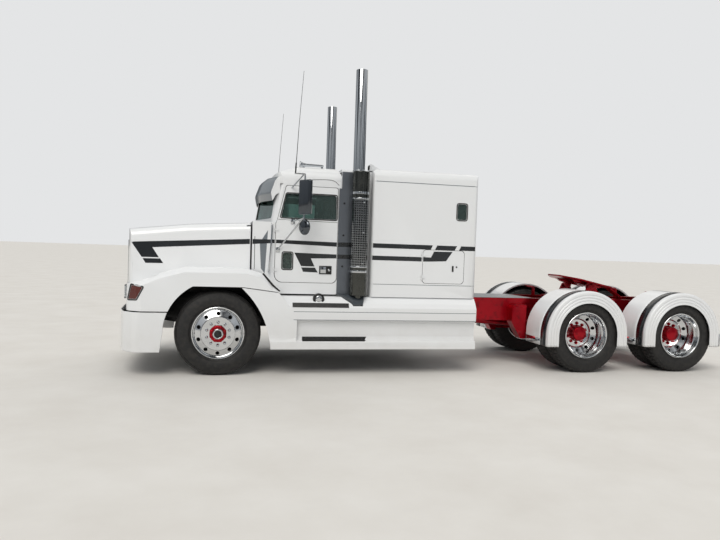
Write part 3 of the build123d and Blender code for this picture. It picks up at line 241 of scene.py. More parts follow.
def tread_plate(name, code):
    """Rolled aluminium walking plate with raised bars in pairs, 28 mm apart."""
    material = finish(name, code, 0.34, metallic=0.9)
    tree = material.node_tree
    bars = []
    for turn in (math.pi / 4, -math.pi / 4):
        middle = cells(tree, object_place(tree), turn, (36.0, 90.0, 36.0))
        bar = add(tree, "MapRange", {"Value": middle}, in_1=0.18, in_2=0.3, in_3=1.0, in_4=0.0)
        bars.append(bar.outputs["Result"])
    both = add(tree, "Math", dict(enumerate(bars)), operation="MAXIMUM")
    relief(tree, both.outputs["Value"], 0.5, 0.002)
    return material


def seat_cloth(name, code):
    """Flat-woven seat cloth: threads 4 mm apart, drawn coarser than real, with a soft sheen."""
    material = finish(name, code, 0.85, tone=("2A2C2F", 12.0, 0.35, 0.6), Sheen_Weight=0.3)
    tree = material.node_tree
    waves = [add(tree, "TexWave", {"Vector": object_place(tree)}, in_Scale=80.0, bands_direction=way)
             for way in "XZ"]
    both = add(tree, "Math", {k: wave.outputs["Fac"] for k, wave in enumerate(waves)}, operation="MULTIPLY")
    relief(tree, both.outputs["Value"], 0.5, 0.001)
    return material


def plated(name, code, low, high, metallic=1.0):
    """Bright plated or polished metal, mirror-like with faint wiping smudges."""
    return finish(name, code, low, metallic, smudge=(9.0, low, high))


def moulded(name, code, roughness):
    """Moulded black plastic or rubber trim with a fine leather-like grain of 2 mm."""
    return finish(name, code, roughness, ior=1.49, tone=("2B2A29", 30.0, 0.3, 0.5),
                  grain=(0.3, 0.0008, "TexVoronoi", "Distance", {"in_Scale": 420.0}))


def lamp_lens(name, code, flutes, transmission):
    """Moulded lamp lens with fluted prisms."""
    return finish(name, code, 0.06, Coat_Weight=0.4, Transmission_Weight=transmission,
                  grain=(0.4, 0.002, "TexWave", "Fac", {"in_Scale": flutes, "bands_direction": "Z"}))


# the record's slot of each finish, where a piece doesn't name another one
SLOTS = {"white": "white_paint", "grey": "grey_paint", "film": "grey_paint", "slate_painted_shade": "grey_paint",
         "red": "red_frame_paint", "polished": "polished_aluminium", "bright": "bright_metal", "can": "bright_metal",
         "guard": "bright_metal", "tyre": "tyre", "black": "black_plastic", "lining": "black_plastic",
         "seal": "black_plastic", "cloth": "seat_fabric", "shell": "mirror_chrome", "reflector": "mirror_chrome"}
MATERIALS = {}


def make_materials():
    """Every finish of the truck, by its name."""
    paint, sizes = bpy.context.scene.tractor_paint, bpy.context.scene.tractor_sizes
    # sprayed two-pack enamel: deep gloss under a clear coat; its orange peel of about 4 mm is drawn a little
    # coarser than real so that it still breaks the reflections
    enamel = {"roughness": 0.32, "Coat_Weight": 0.55,
              "grain": (0.05, 0.0006, "TexNoise", "Fac", {"in_Scale": 160.0, "in_Detail": 1.0})}
    # dark red candy paint over steel: a metallic ground seen through tinted lacquer
    candy = {"roughness": 0.3, "metallic": 0.8, "Coat_Weight": 0.2, "tone": ("5A0410", 7.0, 0.28, 0.5),
             "grain": (0.06, 0.0005, "TexNoise", "Fac", {"in_Scale": 240.0})}
    MATERIALS.update({
        "white": road_dust(finish("white_two_pack_enamel", paint.white, **enamel)),
        # grey enamel for the seams, also used as painted shade on the visor's front and in the cowl's recess
        "grey": finish("grey_enamel_and_painted_shade", paint.grey, **enamel),
        # dark slate for the muffler's shoe, partly painted shade for the dark patch on the skirt under the muffler
        "slate_painted_shade": finish("slate_enamel_painted_shade", "3C4248", **enamel),
        # cast vinyl stripe film, smooth and a little softer in its gloss than the paint
        "film": finish("charcoal_vinyl_film", paint.stripe, 0.26, tone=("24282C", 3.0, 0.3, 0.7), Coat_Weight=0.25),
        "red": finish("red_candy_paint", paint.red, **candy),
        # the chassis red turns near-black ahead of the sleeper's rear wall, as painted shade under the body
        "chassis": dark_ahead(finish("red_candy_paint_with_painted_shade_ahead", paint.red, **candy)),
        "polished": turned_aluminium("lathe_polished_aluminium", "D6D8DA"),
        "bright": plated("chromed_steel", "C9CCCF", 0.04, 0.14),
        # stainless between cab and sleeper, its grey darkened as painted shade and reflection for that shaded gap
        "stainless_painted_shade": plated("brushed_stainless_darkened_as_painted_shade", "6E737A", 0.28, 0.4, 0.75),
        "aluminium": plated("mill_aluminium", "B9BCBF", 0.25, 0.42),
        "can": plated("heat_toned_steel", "525350", 0.16, 0.32),
        "shell": plated("dark_chromed_shell", "5A5E63", 0.05, 0.16),
        "reflector": plated("silvered_reflector", "D8DADC", 0.05, 0.08),
        "guard": perforated("perforated_steel_guard", "8C8E8F", sizes.hole_pitch),
        # carbon-black tyre rubber: matt, a little grey with dust in its pores and on the tread
        "tyre": finish("tyre_rubber", "161617", 0.62, ior=1.52, tone=("272523", 22.0, 0.35, 0.6),
                       grain=(0.35, 0.0008, "TexNoise", "Fac", {"in_Scale": 520.0, "in_Detail": 3.0})),
        # tempered side glass with a green tint, mostly see-through and sharply reflecting
        "glass": finish("green_tinted_glass", "86A19B", 0.02, ior=1.45, smudge=(3.0, 0.01, 0.07, 4.0, 0.3),
                        Transmission_Weight=0.9),
        "black": moulded("moulded_black_plastic", "141516", 0.42),
        # black felt on inner faces and in openings: partly real lining, partly painted shade for the dark insides of
        # shells, fenders and the roof vent
        "lining": moulded("black_felt_lining", "0C0C0D", 0.9),
        "seal": moulded("black_rubber_seal", "0E0E0F", 0.6),
        # cast and machined steel under thin black paint, dusty and worn to metal in places
        "cast": finish("painted_cast_iron", "17181A", 0.5, metallic=0.3, tone=("3A3632", 16.0, 0.3, 0.55),
                       grain=(0.3, 0.001, "TexNoise", "Fac", {"in_Scale": 300.0, "in_Detail": 4.0})),
        "deck": tread_plate("tread_plate_aluminium", "8F9396"),
        "cloth": seat_cloth("grey_seat_cloth", "3A3D42"),
        "clear_lens": lamp_lens("clear_lamp_lens", "E6EAEC", 60.0, 0.85),
        "amber_lens": lamp_lens("amber_lamp_lens", "5A1A10", 70.0, 0.12),
    })


# Mesh helpers


# metres within which vertices of a piece, or of a CAD node, are one, and under which an edge is none
PIECE_MERGE, NODE_MERGE, NO_LENGTH = 2e-6, 1e-5, 1e-7
FLAT_ANGLE, BEVEL_ANGLE = math.radians(0.6), math.radians(35)


def row(points):
    """Millimetres from the front axle to metres in the row's frame."""
    return (np.asarray(points, float).reshape(-1, 3) + (FRONT_AXLE_X, 0.0, 0.0)) * MM


def grid_of(*parts):
    """One array of points, or of map places, from its coordinates."""
    return np.stack(np.broadcast_arrays(*parts), -1)


def sides_of(name):
    """Both sides for a name with {} in it, else only the left one, which isn't mirrored."""
    return SIDES if "{}" in name else SIDES[:1]


def piece(name, sheets, material, body="tractor", slot="", replaces=(), maps=None, **looks):
    """Objects from grids of points, for each side that the name stands for, as a list."""
    return [placed(meshed(name.format(side), sheets, sign, maps), material, body.format(side),
                   slot or SLOTS[material], [node.format(side) for node in replaces], **looks)
            for side, sign in sides_of(name)]


def meshed(name, sheets, sign, maps=None):
    """Mesh of grids of points, mirrored for sign -1; seams and poles are closed and the faces turned outwards."""
    vertices, faces, start = [], [], 0
    for grid in sheets:
        rows, columns = grid.shape[:2]
        index = np.arange(rows * columns).reshape(rows, columns) + start
        vertices.append(row(grid * (1, sign, 1)))
        faces.append(np.stack([index[:-1, :-1], index[1:, :-1], index[1:, 1:], index[:-1, 1:]], -1).reshape(-1, 4))
        start += rows * columns
    mesh = bpy.data.meshes.new(name)
    mesh.from_pydata(np.concatenate(vertices), [], np.concatenate(faces).tolist())
    if maps is not None:
        layer = mesh.uv_layers.new(name="UVMap")
        corner = np.zeros(len(mesh.loops), np.int32)
        mesh.loops.foreach_get("vertex_index", corner)
        flat = np.concatenate([m.reshape(-1, 2) for m in maps])[corner]
        layer.data.foreach_set("uv", flat.ravel().astype(np.float32))
    work = bmesh.new()
    work.from_mesh(mesh)
    bmesh.ops.remove_doubles(work, verts=work.verts, dist=PIECE_MERGE)
    bmesh.ops.dissolve_degenerate(work, edges=work.edges, dist=NO_LENGTH)
    bmesh.ops.recalc_face_normals(work, faces=work.faces)
    work.to_mesh(mesh)
    work.free()
    return mesh


def placed(mesh, material, body, slot, replaces=(), sharp=35.0, wall=0.0, bevel=0.0, lining=""):
    """The mesh as an object on its body, with its finish, and the nodes that it stands for hidden."""
    made = bpy.data.objects.new(mesh.name, mesh)
    bpy.context.scene.collection.objects.link(made)
    mesh.shade_smooth()
    mesh.set_sharp_from_angle(angle=math.radians(sharp))
    mesh.materials.clear()
    mesh.materials.append(MATERIALS[material])
    if lining:
        mesh.materials.append(MATERIALS[lining])
    if wall:
        solid = made.modifiers.new("wall", "SOLIDIFY")
        solid.thickness, solid.offset = wall * MM, -1.0
        solid.material_offset = 1 if lining else 0
    if bevel:
        rounding = made.modifiers.new("edges", "BEVEL")
        rounding.width, rounding.segments, rounding.limit_method = bevel * MM, 2, "ANGLE"
        rounding.angle_limit, rounding.harden_normals = BEVEL_ANGLE, True
    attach(made, body)
    if replaces:
        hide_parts(*replaces)
    return made


def dressed(node, material, bevel, centre=None, sharp=28.0):
    """A merged copy of a CAD node with smooth curves and softened edges; faces that look at centre get the black
    lining, partly a real liner and partly painted shade for the shell's dark inside.
    """
    if "{}" in node:
        for side, sign in SIDES:
            dressed(node.format(side), material, bevel, centre and (centre[0], sign * centre[1], centre[2]))
        return None
    source = frame["nodes"][node]
    work = bmesh.new()
    work.from_mesh(source.data)
    bmesh.ops.remove_doubles(work, verts=work.verts, dist=NODE_MERGE)
    bmesh.ops.dissolve_limit(work, angle_limit=FLAT_ANGLE, verts=work.verts, edges=work.edges)
    bmesh.ops.triangulate(work, faces=[face for face in work.faces if len(face.verts) > 4])
    mesh = bpy.data.meshes.new(node + "_skin")
    work.to_mesh(mesh)
    work.free()
    made = placed(mesh, material, source["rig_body"], NODE_SLOTS[node], (node,), sharp, bevel=bevel,
                  lining="lining" if centre else "")
    # inward faces turn black: painted shade for the shell's inside, together with its real lining
    if centre:
        normals, centres = (np.empty(len(mesh.polygons) * 3, np.float32) for _ in range(2))
        mesh.polygons.foreach_get("normal", normals)
        mesh.polygons.foreach_get("center", centres)
        inward = (normals.reshape(-1, 3) * (centres.reshape(-1, 3) - row([centre]))).sum(1) < 0
        mesh.polygons.foreach_set("material_index", inward.astype(np.int32))
    return made


def smooth_line(points, count):
    """Catmull-Rom curve through the points, count samples on each span, as one array."""
    p = np.asarray(points, float)
    ends = np.vstack([2 * p[0] - p[1], p, 2 * p[-1] - p[-2]])
    t = np.linspace(0, 1, count, endpoint=False)[None, :, None]
    a, b, c, d = (ends[i:len(ends) - 3 + i][:, None, :] for i in range(4))
    curve = 0.5 * (2 * b + (c - a) * t + (2 * a - 5 * b + 4 * c - d) * t ** 2 + (3 * b - a - 3 * c + d) * t ** 3)
    return np.vstack([curve.reshape(-1, p.shape[1]), p[-1:]])


def rounded_line(points, radius):
    """The corner points of a line, each inner corner replaced by a quadratic arc."""
    p = np.asarray(points, float)
    at = p[1:-1]
    into, out = p[:-2] - at, p[2:] - at
    into_len, out_len = (np.linalg.norm(leg, axis=1, keepdims=True) for leg in (into, out))
    reach = np.minimum(radius, 0.49 * np.minimum(into_len, out_len))
    a, c = at + into / into_len * reach, at + out / out_len * reach
    t = np.linspace(0, 1, ARC_STEPS + 1)[None, :, None]
    arcs = (1 - t) ** 2 * a[:, None] + 2 * t * (1 - t) * at[:, None] + t ** 2 * c[:, None]
    return np.vstack([p[:1], arcs.reshape(-1, p.shape[1]), p[-1:]])


def closed_line(points, radius):
    """The corners of a closed outline, each rounded by a quadratic arc, from the middle of its last side round."""
    p = np.asarray(points, float)
    middle = (p[:1] + p[-1:]) / 2
    return rounded_line(np.vstack([middle, p, middle]), radius)


def spaced(line, gap):
    """The line with points added along it, gap apart, so that a strip on it can follow a curved skin."""
    p = np.asarray(line, float)
    run = np.concatenate([[0.0], np.cumsum(np.linalg.norm(np.diff(p, axis=0), axis=1))])
    at = np.unique(np.concatenate([run, np.arange(0.0, run[-1], gap)]))
    return np.stack([np.interp(at, run, p[:, k]) for k in range(p.shape[1])], -1)


def ribbon(line, width, shift=0.0):
    """Flat band along a line in a plane: the line moved to both sides of its way, after a shift to its left."""
    p = np.asarray(line, float)
    along = np.gradient(p, axis=0)
    if np.allclose(p[0], p[-1]):
        along[0] = along[-1] = p[1] - p[-2]
    along /= np.linalg.norm(along, axis=1, keepdims=True)
    across = np.stack([-along[:, 1], along[:, 0]], -1)
    return np.stack([p + across * (shift - width / 2), p + across * (shift + width / 2)], 1)


def patch(corners, long_steps=48, wide_steps=8):
    """Bilinear grid between four corners (a, b, c, d) running round the patch; a to b is the long way."""
    a, b, c, d = (np.asarray(q, float) for q in corners)
    u = np.linspace(0, 1, long_steps + 1)[:, None, None]
    v = np.linspace(0, 1, wide_steps + 1)[None, :, None]
    return (1 - u) * (1 - v) * a + u * (1 - v) * b + u * v * c + (1 - u) * v * d


def turned(profile, centre, segments, face=1, axis=1):
    """Surface of revolution: each (distance along the axis, radius) of the profile runs round the centre.

    The axis is 0 for X, 1 for Y and 2 for Z, and face -1 lays the distances the other way along it.
    """
    along, radius = np.asarray(profile, float).T
    angle = np.linspace(0, FULL_TURN, segments + 1)[:, None]
    parts = [radius * np.cos(angle), radius * np.sin(angle)]
    parts.insert(axis, face * along)
    return grid_of(*parts) + centre


def tube(path, radius, sides=16):
    """Round bar along a path: at each point a circle square to the path's direction, closed at both ends."""
    p = np.asarray(path, float)
    along = np.gradient(p, axis=0)
    along /= np.linalg.norm(along, axis=1, keepdims=True)
    guide = np.where(np.abs(along[:, 2:3]) > 0.9, [[1.0, 0.0, 0.0]], [[0.0, 0.0, 1.0]])
    side = np.cross(along, guide)
    side /= np.linalg.norm(side, axis=1, keepdims=True)
    up = np.cross(side, along)
    angle = np.linspace(0, FULL_TURN, sides + 1)[:, None, None]
    r = np.broadcast_to(np.asarray(radius, float), (len(p),))[:, None]
    wall = p[None] + r * (np.cos(angle) * side[None] + np.sin(angle) * up[None])
    first, last = (np.broadcast_to(p[i], (sides + 1, 1, 3)) for i in (0, -1))
    return np.concatenate([first, wall, last], axis=1)


def rounded_box(low, high, radius):
    """Box with rounded edges: a sphere's directions pushed out to the box's corners, on a latitude grid."""
    steps = 4
    low, high = np.asarray(low, float), np.asarray(high, float)
    radius = min(radius, *(0.49 * (high - low)))
    quarter = np.linspace(0, math.pi / 2, steps + 1)
    azimuth = np.concatenate([quarter + k * math.pi / 2 for k in range(4)] + [[FULL_TURN]])[:, None]
    corner_x = np.append(np.repeat([1, -1, -1, 1], steps + 1), 1)[:, None]
    corner_y = np.append(np.repeat([1, 1, -1, -1], steps + 1), 1)[:, None]
    latitude = np.concatenate([quarter - math.pi / 2, quarter])
    corner_z = np.repeat([-1, 1], steps + 1)
    middle, half = (low + high) / 2, (high - low) / 2 - radius
    wall = middle + grid_of(corner_x * half[0] + radius * np.cos(azimuth) * np.cos(latitude),
                            corner_y * half[1] + radius * np.sin(azimuth) * np.cos(latitude),
                            corner_z * half[2] + radius * np.sin(latitude))
    base, top = (np.broadcast_to([*middle[:2], level], (len(azimuth), 1, 3)) for level in (low[2], high[2]))
    return np.concatenate([base, wall, top], axis=1)


def swung(grid, centre, degrees):
    """The grid turned about an upright line through centre (x, y)."""
    pivot = np.array([*centre, 0.0])
    x, y, z = np.moveaxis(grid - pivot, -1, 0)
    c, s = math.cos(math.radians(degrees)), math.sin(math.radians(degrees))
    return grid_of(x * c - y * s, x * s + y * c, z) + pivot


def laid(name, grids, node, material, lift):
    """Film or trim laid on a painted node: its flat (x, z) grids are thrown along Y onto the node's skin."""
    sheets = [np.insert(np.asarray(grid, float), 1, THROW_FROM, -1) for grid in grids]
    for side, sign in SIDES:
        target = node.format(side)
        made = placed(meshed(name.format(side), sheets, sign), material, frame["nodes"][target]["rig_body"],
                      SLOTS[material])
        throw = made.modifiers.new("lay", "SHRINKWRAP")
        throw.target = bpy.data.objects[target + "_skin"]
        throw.wrap_method = "PROJECT"
        throw.use_project_x, throw.use_project_y, throw.use_project_z = False, True, False
        throw.use_negative_direction, throw.use_positive_direction = sign > 0, sign < 0
        throw.offset = lift * MM
        done = bpy.data.meshes.new_from_object(made.evaluated_get(bpy.context.evaluated_depsgraph_get()))
        made.modifiers.clear()
        made.data = done
        work = bmesh.new()
        work.from_mesh(done)
        # where the throw met no skin, beside an edge or over a hole, the film ends
        missed = [v for v in work.verts if abs(v.co.y * sign - THROW_FROM * MM) < MM]
        bmesh.ops.delete(work, geom=missed, context="VERTS")
        bmesh.ops.recalc_face_normals(work, faces=work.faces)
        for face in work.faces:
            if face.normal.y * sign < 0:
                face.normal_flip()
        work.to_mesh(done)
        work.free()
        done.shade_smooth()


# Stage


COLOUR = {"subtype": "COLOR", "size": 4, "min": 0.0, "max": 1.0}


class TractorStage(bpy.types.PropertyGroup):
    key_strength: bpy.props.FloatProperty(name="Key light", description="Strength of the main soft light",
                                          default=1.75, min=0.0)
    fill_strength: bpy.props.FloatProperty(name="Fill light", description="Strength of the soft light from behind",
                                           default=0.5, min=0.0)
    surround: bpy.props.FloatProperty(name="Surroundings", description="Strength of the pale surroundings",
                                      default=0.62, min=0.0, max=1.0, subtype="FACTOR")
    lens: bpy.props.FloatProperty(name="Lens", description="Focal length of the photograph's camera, 36 mm frame",
                                  default=31.45, min=1.0, unit="CAMERA")


class TractorPaint(bpy.types.PropertyGroup):
    white: bpy.props.FloatVectorProperty(name="White", description="Body colour", default=linear("E6E8EA"), **COLOUR)
    red: bpy.props.FloatVectorProperty(name="Red", description="Frame and hub colour", default=linear("A80018"),
                                       **COLOUR)
    grey: bpy.props.FloatVectorProperty(name="Grey", description="Visor and cowl colour", default=linear("6C7379"),
                                        **COLOUR)
    stripe: bpy.props.FloatVectorProperty(name="Stripe", description="Stripe film colour",
                                          default=linear("181B1E"), **COLOUR)


class TractorSizes(bpy.types.PropertyGroup):
    tread_depth: bpy.props.FloatProperty(name="Tread depth", description="Depth of the drive tyres' grooves",
                                         default=0.013, min=0.002, max=0.018, unit="LENGTH")
    hole_pitch: bpy.props.FloatProperty(name="Guard hole pitch", description="Spacing of the holes in the guards",
                                        default=0.03, min=0.005, max=0.05, unit="LENGTH")
    seal_width: bpy.props.FloatProperty(name="Seal width", description="Width of the rubber round the windows",
                                        default=0.014, min=0.005, max=0.03, unit="LENGTH")
    bar_radius: bpy.props.FloatProperty(name="Mirror bar radius", description="Radius of the mirrors' bars",
                                        default=0.01, min=0.005, max=0.015, unit="LENGTH")


CAMERA_PLACE = (3.0717, 9.1223, 1.6131)
CAMERA_YAW, CAMERA_PITCH, CAMERA_ROLL = -0.2192, -0.0303, 0.0334
FLOOR_REACH = 500.0


def camera_turn(yaw, pitch, roll):
    """Camera rotation: look along -Y, then turn by yaw about Z, pitch about the picture's width and roll."""
    right = Vector((-math.cos(yaw), -math.sin(yaw), 0))
    ahead = Vector((math.sin(yaw), -math.cos(yaw), 0))
    up = Vector((0, 0, 1))
    ahead, up = ahead * math.cos(pitch) + up * math.sin(pitch), up * math.cos(pitch) - ahead * math.sin(pitch)
    right, up = right * math.cos(roll) + up * math.sin(roll), up * math.cos(roll) - right * math.sin(roll)
    return Matrix((right, up, -ahead)).transposed()


def surroundings(strength):
    """A pale world: plain behind the truck, brighter overhead, with darker stands that only mirrors see."""
    world = bpy.data.worlds.new("surroundings")
    world.use_nodes = True
    tree = world.node_tree
    lit = tree.nodes["Background"]
    lit.inputs["Strength"].default_value = strength
    sky = add(tree, "TexCoord").outputs["Generated"]
    lift = add(tree, "SeparateXYZ", {"Vector": sky})
    ramp = add(tree, "ValToRGB", {"Fac": lift.outputs["Z"]},
               stops=[(0.0, "A9A7A3"), (0.02, "B4B9BE"), (0.35, "E4E8EC"), (1.0, "FFFFFF")])
    # metals see darker stands of the surroundings between the lamps, which gives chrome its streaks
    bands = add(tree, "Mapping", {"Vector": sky}, in_Scale=(2.2, 2.2, 0.25))
    cloud = add(tree, "TexNoise", {"Vector": bands.outputs["Vector"]}, in_Scale=1.3, in_Detail=1.0)
    dark = add(tree, "ValToRGB", {"Fac": cloud.outputs["Fac"]}, stops=[(0.44, "3A3E44"), (0.54, "FFFFFF")])
    path = add(tree, "LightPath")
    shaded = add(tree, "MixRGB", {"Fac": path.outputs["Is Glossy Ray"], "Color1": ramp.outputs["Color"],
                                  "Color2": dark.outputs["Color"]}, blend_type="MULTIPLY")
    tree.links.new(shaded.outputs["Color"], lit.inputs["Color"])
    seen = add(tree, "Math", {0: path.outputs["Is Camera Ray"], 1: path.outputs["Is Transmission Ray"]},
               operation="MAXIMUM")
    plain = add(tree, "Background", in_Color=linear("E4E5E6"), in_Strength=1.0)
    either = add(tree, "MixShader", {0: seen.outputs["Value"], 1: lit.outputs["Background"],
                                     2: plain.outputs["Background"]})
    tree.links.new(either.outputs["Shader"], tree.nodes["World Output"].inputs["Surface"])
    return world


class TRACTOR_OT_stage(bpy.types.Operator):
    """Floor, soft lamps, pale surroundings and the camera of the photograph."""
    bl_idname = "tractor.stage"
    bl_label = "Stage"

    def execute(self, context):
        scene, settings = context.scene, context.scene.tractor_stage
        scene.view_settings.view_transform = "Standard"
        camera = bpy.data.objects.new("camera", bpy.data.cameras.new("camera"))
        scene.collection.objects.link(camera)
        camera.data.sensor_width = 36.0
        camera.data.lens = settings.lens
        turn = camera_turn(CAMERA_YAW, CAMERA_PITCH, CAMERA_ROLL).to_4x4()
        camera.matrix_world = Matrix.Translation(CAMERA_PLACE) @ turn
        scene.camera = camera
        scene.world = surroundings(settings.surround)
        floor = bpy.data.meshes.new("floor")
        floor.from_pydata([(x * FLOOR_REACH, y * FLOOR_REACH, 0) for x, y in ((-1, -1), (1, -1), (1, 1), (-1, 1))],
                          [], [(0, 1, 2, 3)])
        # trowelled concrete, matt and a little cloudy
        floor.materials.append(finish("pale_concrete", "DAD8D4", 0.9, tone=("D2CFCA", 1.2, 0.3, 0.7)))
        ground = bpy.data.objects.new("floor", floor)
        scene.collection.objects.link(ground)
        for name, aim, strength, spread in (("key", (-0.45, -0.95, -1.25), settings.key_strength, 38),
                                            ("back", (0.6, 1.0, -1.0), settings.fill_strength, 60)):
            lamp = bpy.data.lights.new(name, "SUN")
            lamp.energy, lamp.angle = strength, math.radians(spread)
            lamp.color = linear("FFFBF4")[:3]
            holder = bpy.data.objects.new(name, lamp)
            holder.rotation_euler = Vector(aim).to_track_quat("-Z", "Y").to_euler()
            scene.collection.objects.link(holder)
        return {"FINISHED"}


# Bodywork


class TRACTOR_OT_bodywork(bpy.types.Operator):
    """Painted shells: cab, doors, sleeper, hatches, hood, bumper, skirts and tail panel."""
    bl_idname = "tractor.bodywork"
    bl_label = "Bodywork"

    def execute(self, context):
        dressed("cab_shell", "white", 4.0, (-1060, 0, 1760))
        dressed("sleeper_shell", "white", 4.0, (-2660, 0, 1860))
        dressed("hood", "white", 4.0, (300, 0, 600))
        dressed("side_skirts", "white", 4.0, (-1900, 0, 440))
        dressed("bumper", "white", 6.0)
        dressed("tail_panel", "white", 4.0)
        dressed("door_{}", "white", 3.0, (-1090, 600, 1800))
        dressed("hatch_{}", "white", 3.0)
        visor = dressed("visor", "grey", 3.0)
        visor.data.materials.append(MATERIALS["white"])
        for face in visor.data.polygons:
            # its end cheeks are body white; its forward faces stay grey, painted shade and reflection for the
            # visor's shaded front
            face.material_index = int(abs(face.normal.y) > 0.8)
        dressed("step_treads", "black", 1.0)
        # the stack panels' dark stainless is partly painted shade for the gap between cab and sleeper
        dressed("stack_panels", "stainless_painted_shade", 1.5)
        dressed("deck_plate", "deck", 1.0)
        return {"FINISHED"}


class TRACTOR_OT_glass(bpy.types.Operator):
    """Windscreen, door and sleeper windows."""
    bl_idname = "tractor.glass"
    bl_label = "Glass"

    def execute(self, context):
        dressed("fixed_windows", "glass", 0.0)
        dressed("door_glass_{}", "glass", 0.0)
        return {"FINISHED"}


# Tyres and wheels


TYRE_SEGMENTS = 270
# grooves round the tread, lugs of the drive tyres and notches in the steering tyres' shoulders; a share is the
# part of each step round the tyre that is cut away
GROOVES, GROOVE_DEPTH = ((21.5, 34.5), (63.0, 76.5)), 11.0
LUGS, LUG_SHARE, LUG_ROOT = 54, 0.17, 505
NOTCHES, NOTCH_SHARE, NOTCH_START, NOTCH_DEPTH = 90, 0.34, 88, 5.0
SHOULDER, RING_RISE = 112, 3.0
CROWN = [(0, 532), (20, 531.9), (22, 531.9), (34, 531.6), (36, 531.5), (62, 530.6), (64, 530.4), (76, 529.6),
         (78, 529.4), (94, 527)]
SIDEWALL = [(94, 527), (108, 515), (117, 500), (124, 474), (131, 450), (136, 418), (134, 388), (127, 360),
            (117, 343), (110, 331), (105, 325), (104.6, 312)]
SIDEWALL_RINGS = [505, 503, 498, 496, 356, 354, 349, 347]


def tyre_line():
    """Half profile of a tyre from crown to bead as (offset from the middle plane, radius)."""
    wall = smooth_line(SIDEWALL, 2)
    # two moulded rings stand out of the sidewall, below the shoulder and above the rim
    radii = np.sort(np.concatenate([wall[1:, 1], SIDEWALL_RINGS]))[::-1]
    raised = np.isin(radii, [ring for pair in (SIDEWALL_RINGS[1:3], SIDEWALL_RINGS[5:7]) for ring in pair])
    offset = np.interp(radii, wall[::-1, 1], wall[::-1, 0]) + RING_RISE * raised
    return np.vstack([CROWN, np.stack([offset, radii], -1)])


def tyre(x, y, drive):
    """Tyre surface: the profile turned about the axle, its tread cut by grooves round and by lugs or notches."""
    half = tyre_line()
    profile = np.vstack([half[::-1] * [-1, 1], half[1:]])
    offset, radius = profile.T
    across = np.abs(offset)
    turn = np.linspace(0, FULL_TURN, TYRE_SEGMENTS + 1)[:, None]
    if drive:
        depth = bpy.context.scene.tractor_sizes.tread_depth / MM
        phase = turn * LUGS / FULL_TURN + np.where(offset > 0, 0.5, 0.0)
        cut = np.where((phase % 1.0 < LUG_SHARE) & (across < SHOULDER) & (radius > LUG_ROOT), depth, 0.0)
    else:
        phase = turn * NOTCHES / FULL_TURN
        shoulder = (across > NOTCH_START) & (across < SHOULDER)
        cut = np.where((phase % 1.0 < NOTCH_SHARE) & shoulder, NOTCH_DEPTH, 0.0)
    for start, end in GROOVES:
        cut = np.maximum(cut, np.where((across > start) & (across < end), GROOVE_DEPTH, 0.0))
    scale = ((radius - cut) / radius)[..., None] * (1, 0, 1) + (0, 1, 0)
    return turned(profile, (0, 0, 0), TYRE_SEGMENTS) * scale + (x, y, AXLE_Z)


class TRACTOR_OT_tyres(bpy.types.Operator):
    """Ribbed steering tyres and lugged twin drive tyres."""
    bl_idname = "tractor.tyres"
    bl_label = "Tyres"

    def execute(self, context):
        piece("steer_tyre_{}", [tyre(0, FRONT_WHEEL_Y, False)], "tyre", "front_wheel_{}",
              replaces=["front_tyre_{}"], sharp=32)
        for number, x in enumerate(DRIVE_X, 1):
            pair = [tyre(x, y, True) for y in (DUAL_OUTER_Y, DUAL_INNER_Y)]
            piece(f"twin_tyres_{number}_{{}}", pair, "tyre", f"drive_wheels_{number}_{{}}",
                  replaces=[f"drive_tyres_{number}_{{}}"], sharp=32)
        return {"FINISHED"}


RIM_SEGMENTS = 128
DISC_DEPTH = 22.0
HOLE_PCR, HOLE_R, HOLES = 246.0, 25.0, 10
NUT_PCR, NUT_SEGMENTS = 143, 18
CONE_OUT, CONE_IN = (110.0, 279.0), (147.0, 213.0)
# profiles of a wheel: the rim, the disc ahead of its cone and inside it, and the disc's back inside and outside
WHEEL_LINES = [
    [(117, 311), (118.5, 316), (118.5, 322), (116, 325.5), (112, 325.5), (106, 323), (105, 311.5), (62, 305),
     (36, 284.5), (-60, 284.5), (-84, 305), (-105, 311.5), (-106, 323), (-112, 325.5), (-116, 325.5),
     (-118.5, 322), (-118.5, 316), (-117, 311), (-108, 303), (-82, 296), (-58, 275.5), (32, 275.5), (60, 294),
     (106, 302), (117, 311)],
    [(106, 302), (101, 292), CONE_OUT],
    [CONE_IN, (149, 211), (163, 208), (165, 206), (165, 90), (165, 60)],
    [(143, 60), (143, 196), (138, 202), (CONE_IN[0] - DISC_DEPTH, CONE_IN[1])],
    [(CONE_OUT[0] - DISC_DEPTH, CONE_OUT[1]), (60, 281), (30, 282)]]
# the brake drum closes the view through the hand holes
DRUM = rounded_line([(60, 96), (60, 262), (-70, 262), (-70, 200)], 10)
STEER_HUB = rounded_line([(10, 51), (10, 95), (120, 95), (165, 104), (184, 104), (190, 96), (196, 70),
                          (190, 60)], 4)
CAP_RING = rounded_line([(186, 68), (206, 66), (214, 60), (214, 46), (206, 44)], 5)
CAP_WINDOW = rounded_line([(200, 50), (207, 40), (212, 20), (212, 0.01)], 5)
DRIVE_HUB = rounded_line([(-250, 51), (-250, 95), (0, 95), (0, 118), (14, 118), (20, 108), (84, 106), (98, 96),
                          (108, 60), (112, 30), (112, 0.01)], 5)


def cone_point(x, y, face, depth, radius, angle):
    """Point of the disc's cone at a radius and an angle about the axle, depth behind its face."""
    along = np.interp(radius, [CONE_IN[1], CONE_OUT[1]], [CONE_IN[0], CONE_OUT[0]])
    return grid_of(x + radius * np.cos(angle), y + face * (along - depth), AXLE_Z + radius * np.sin(angle))


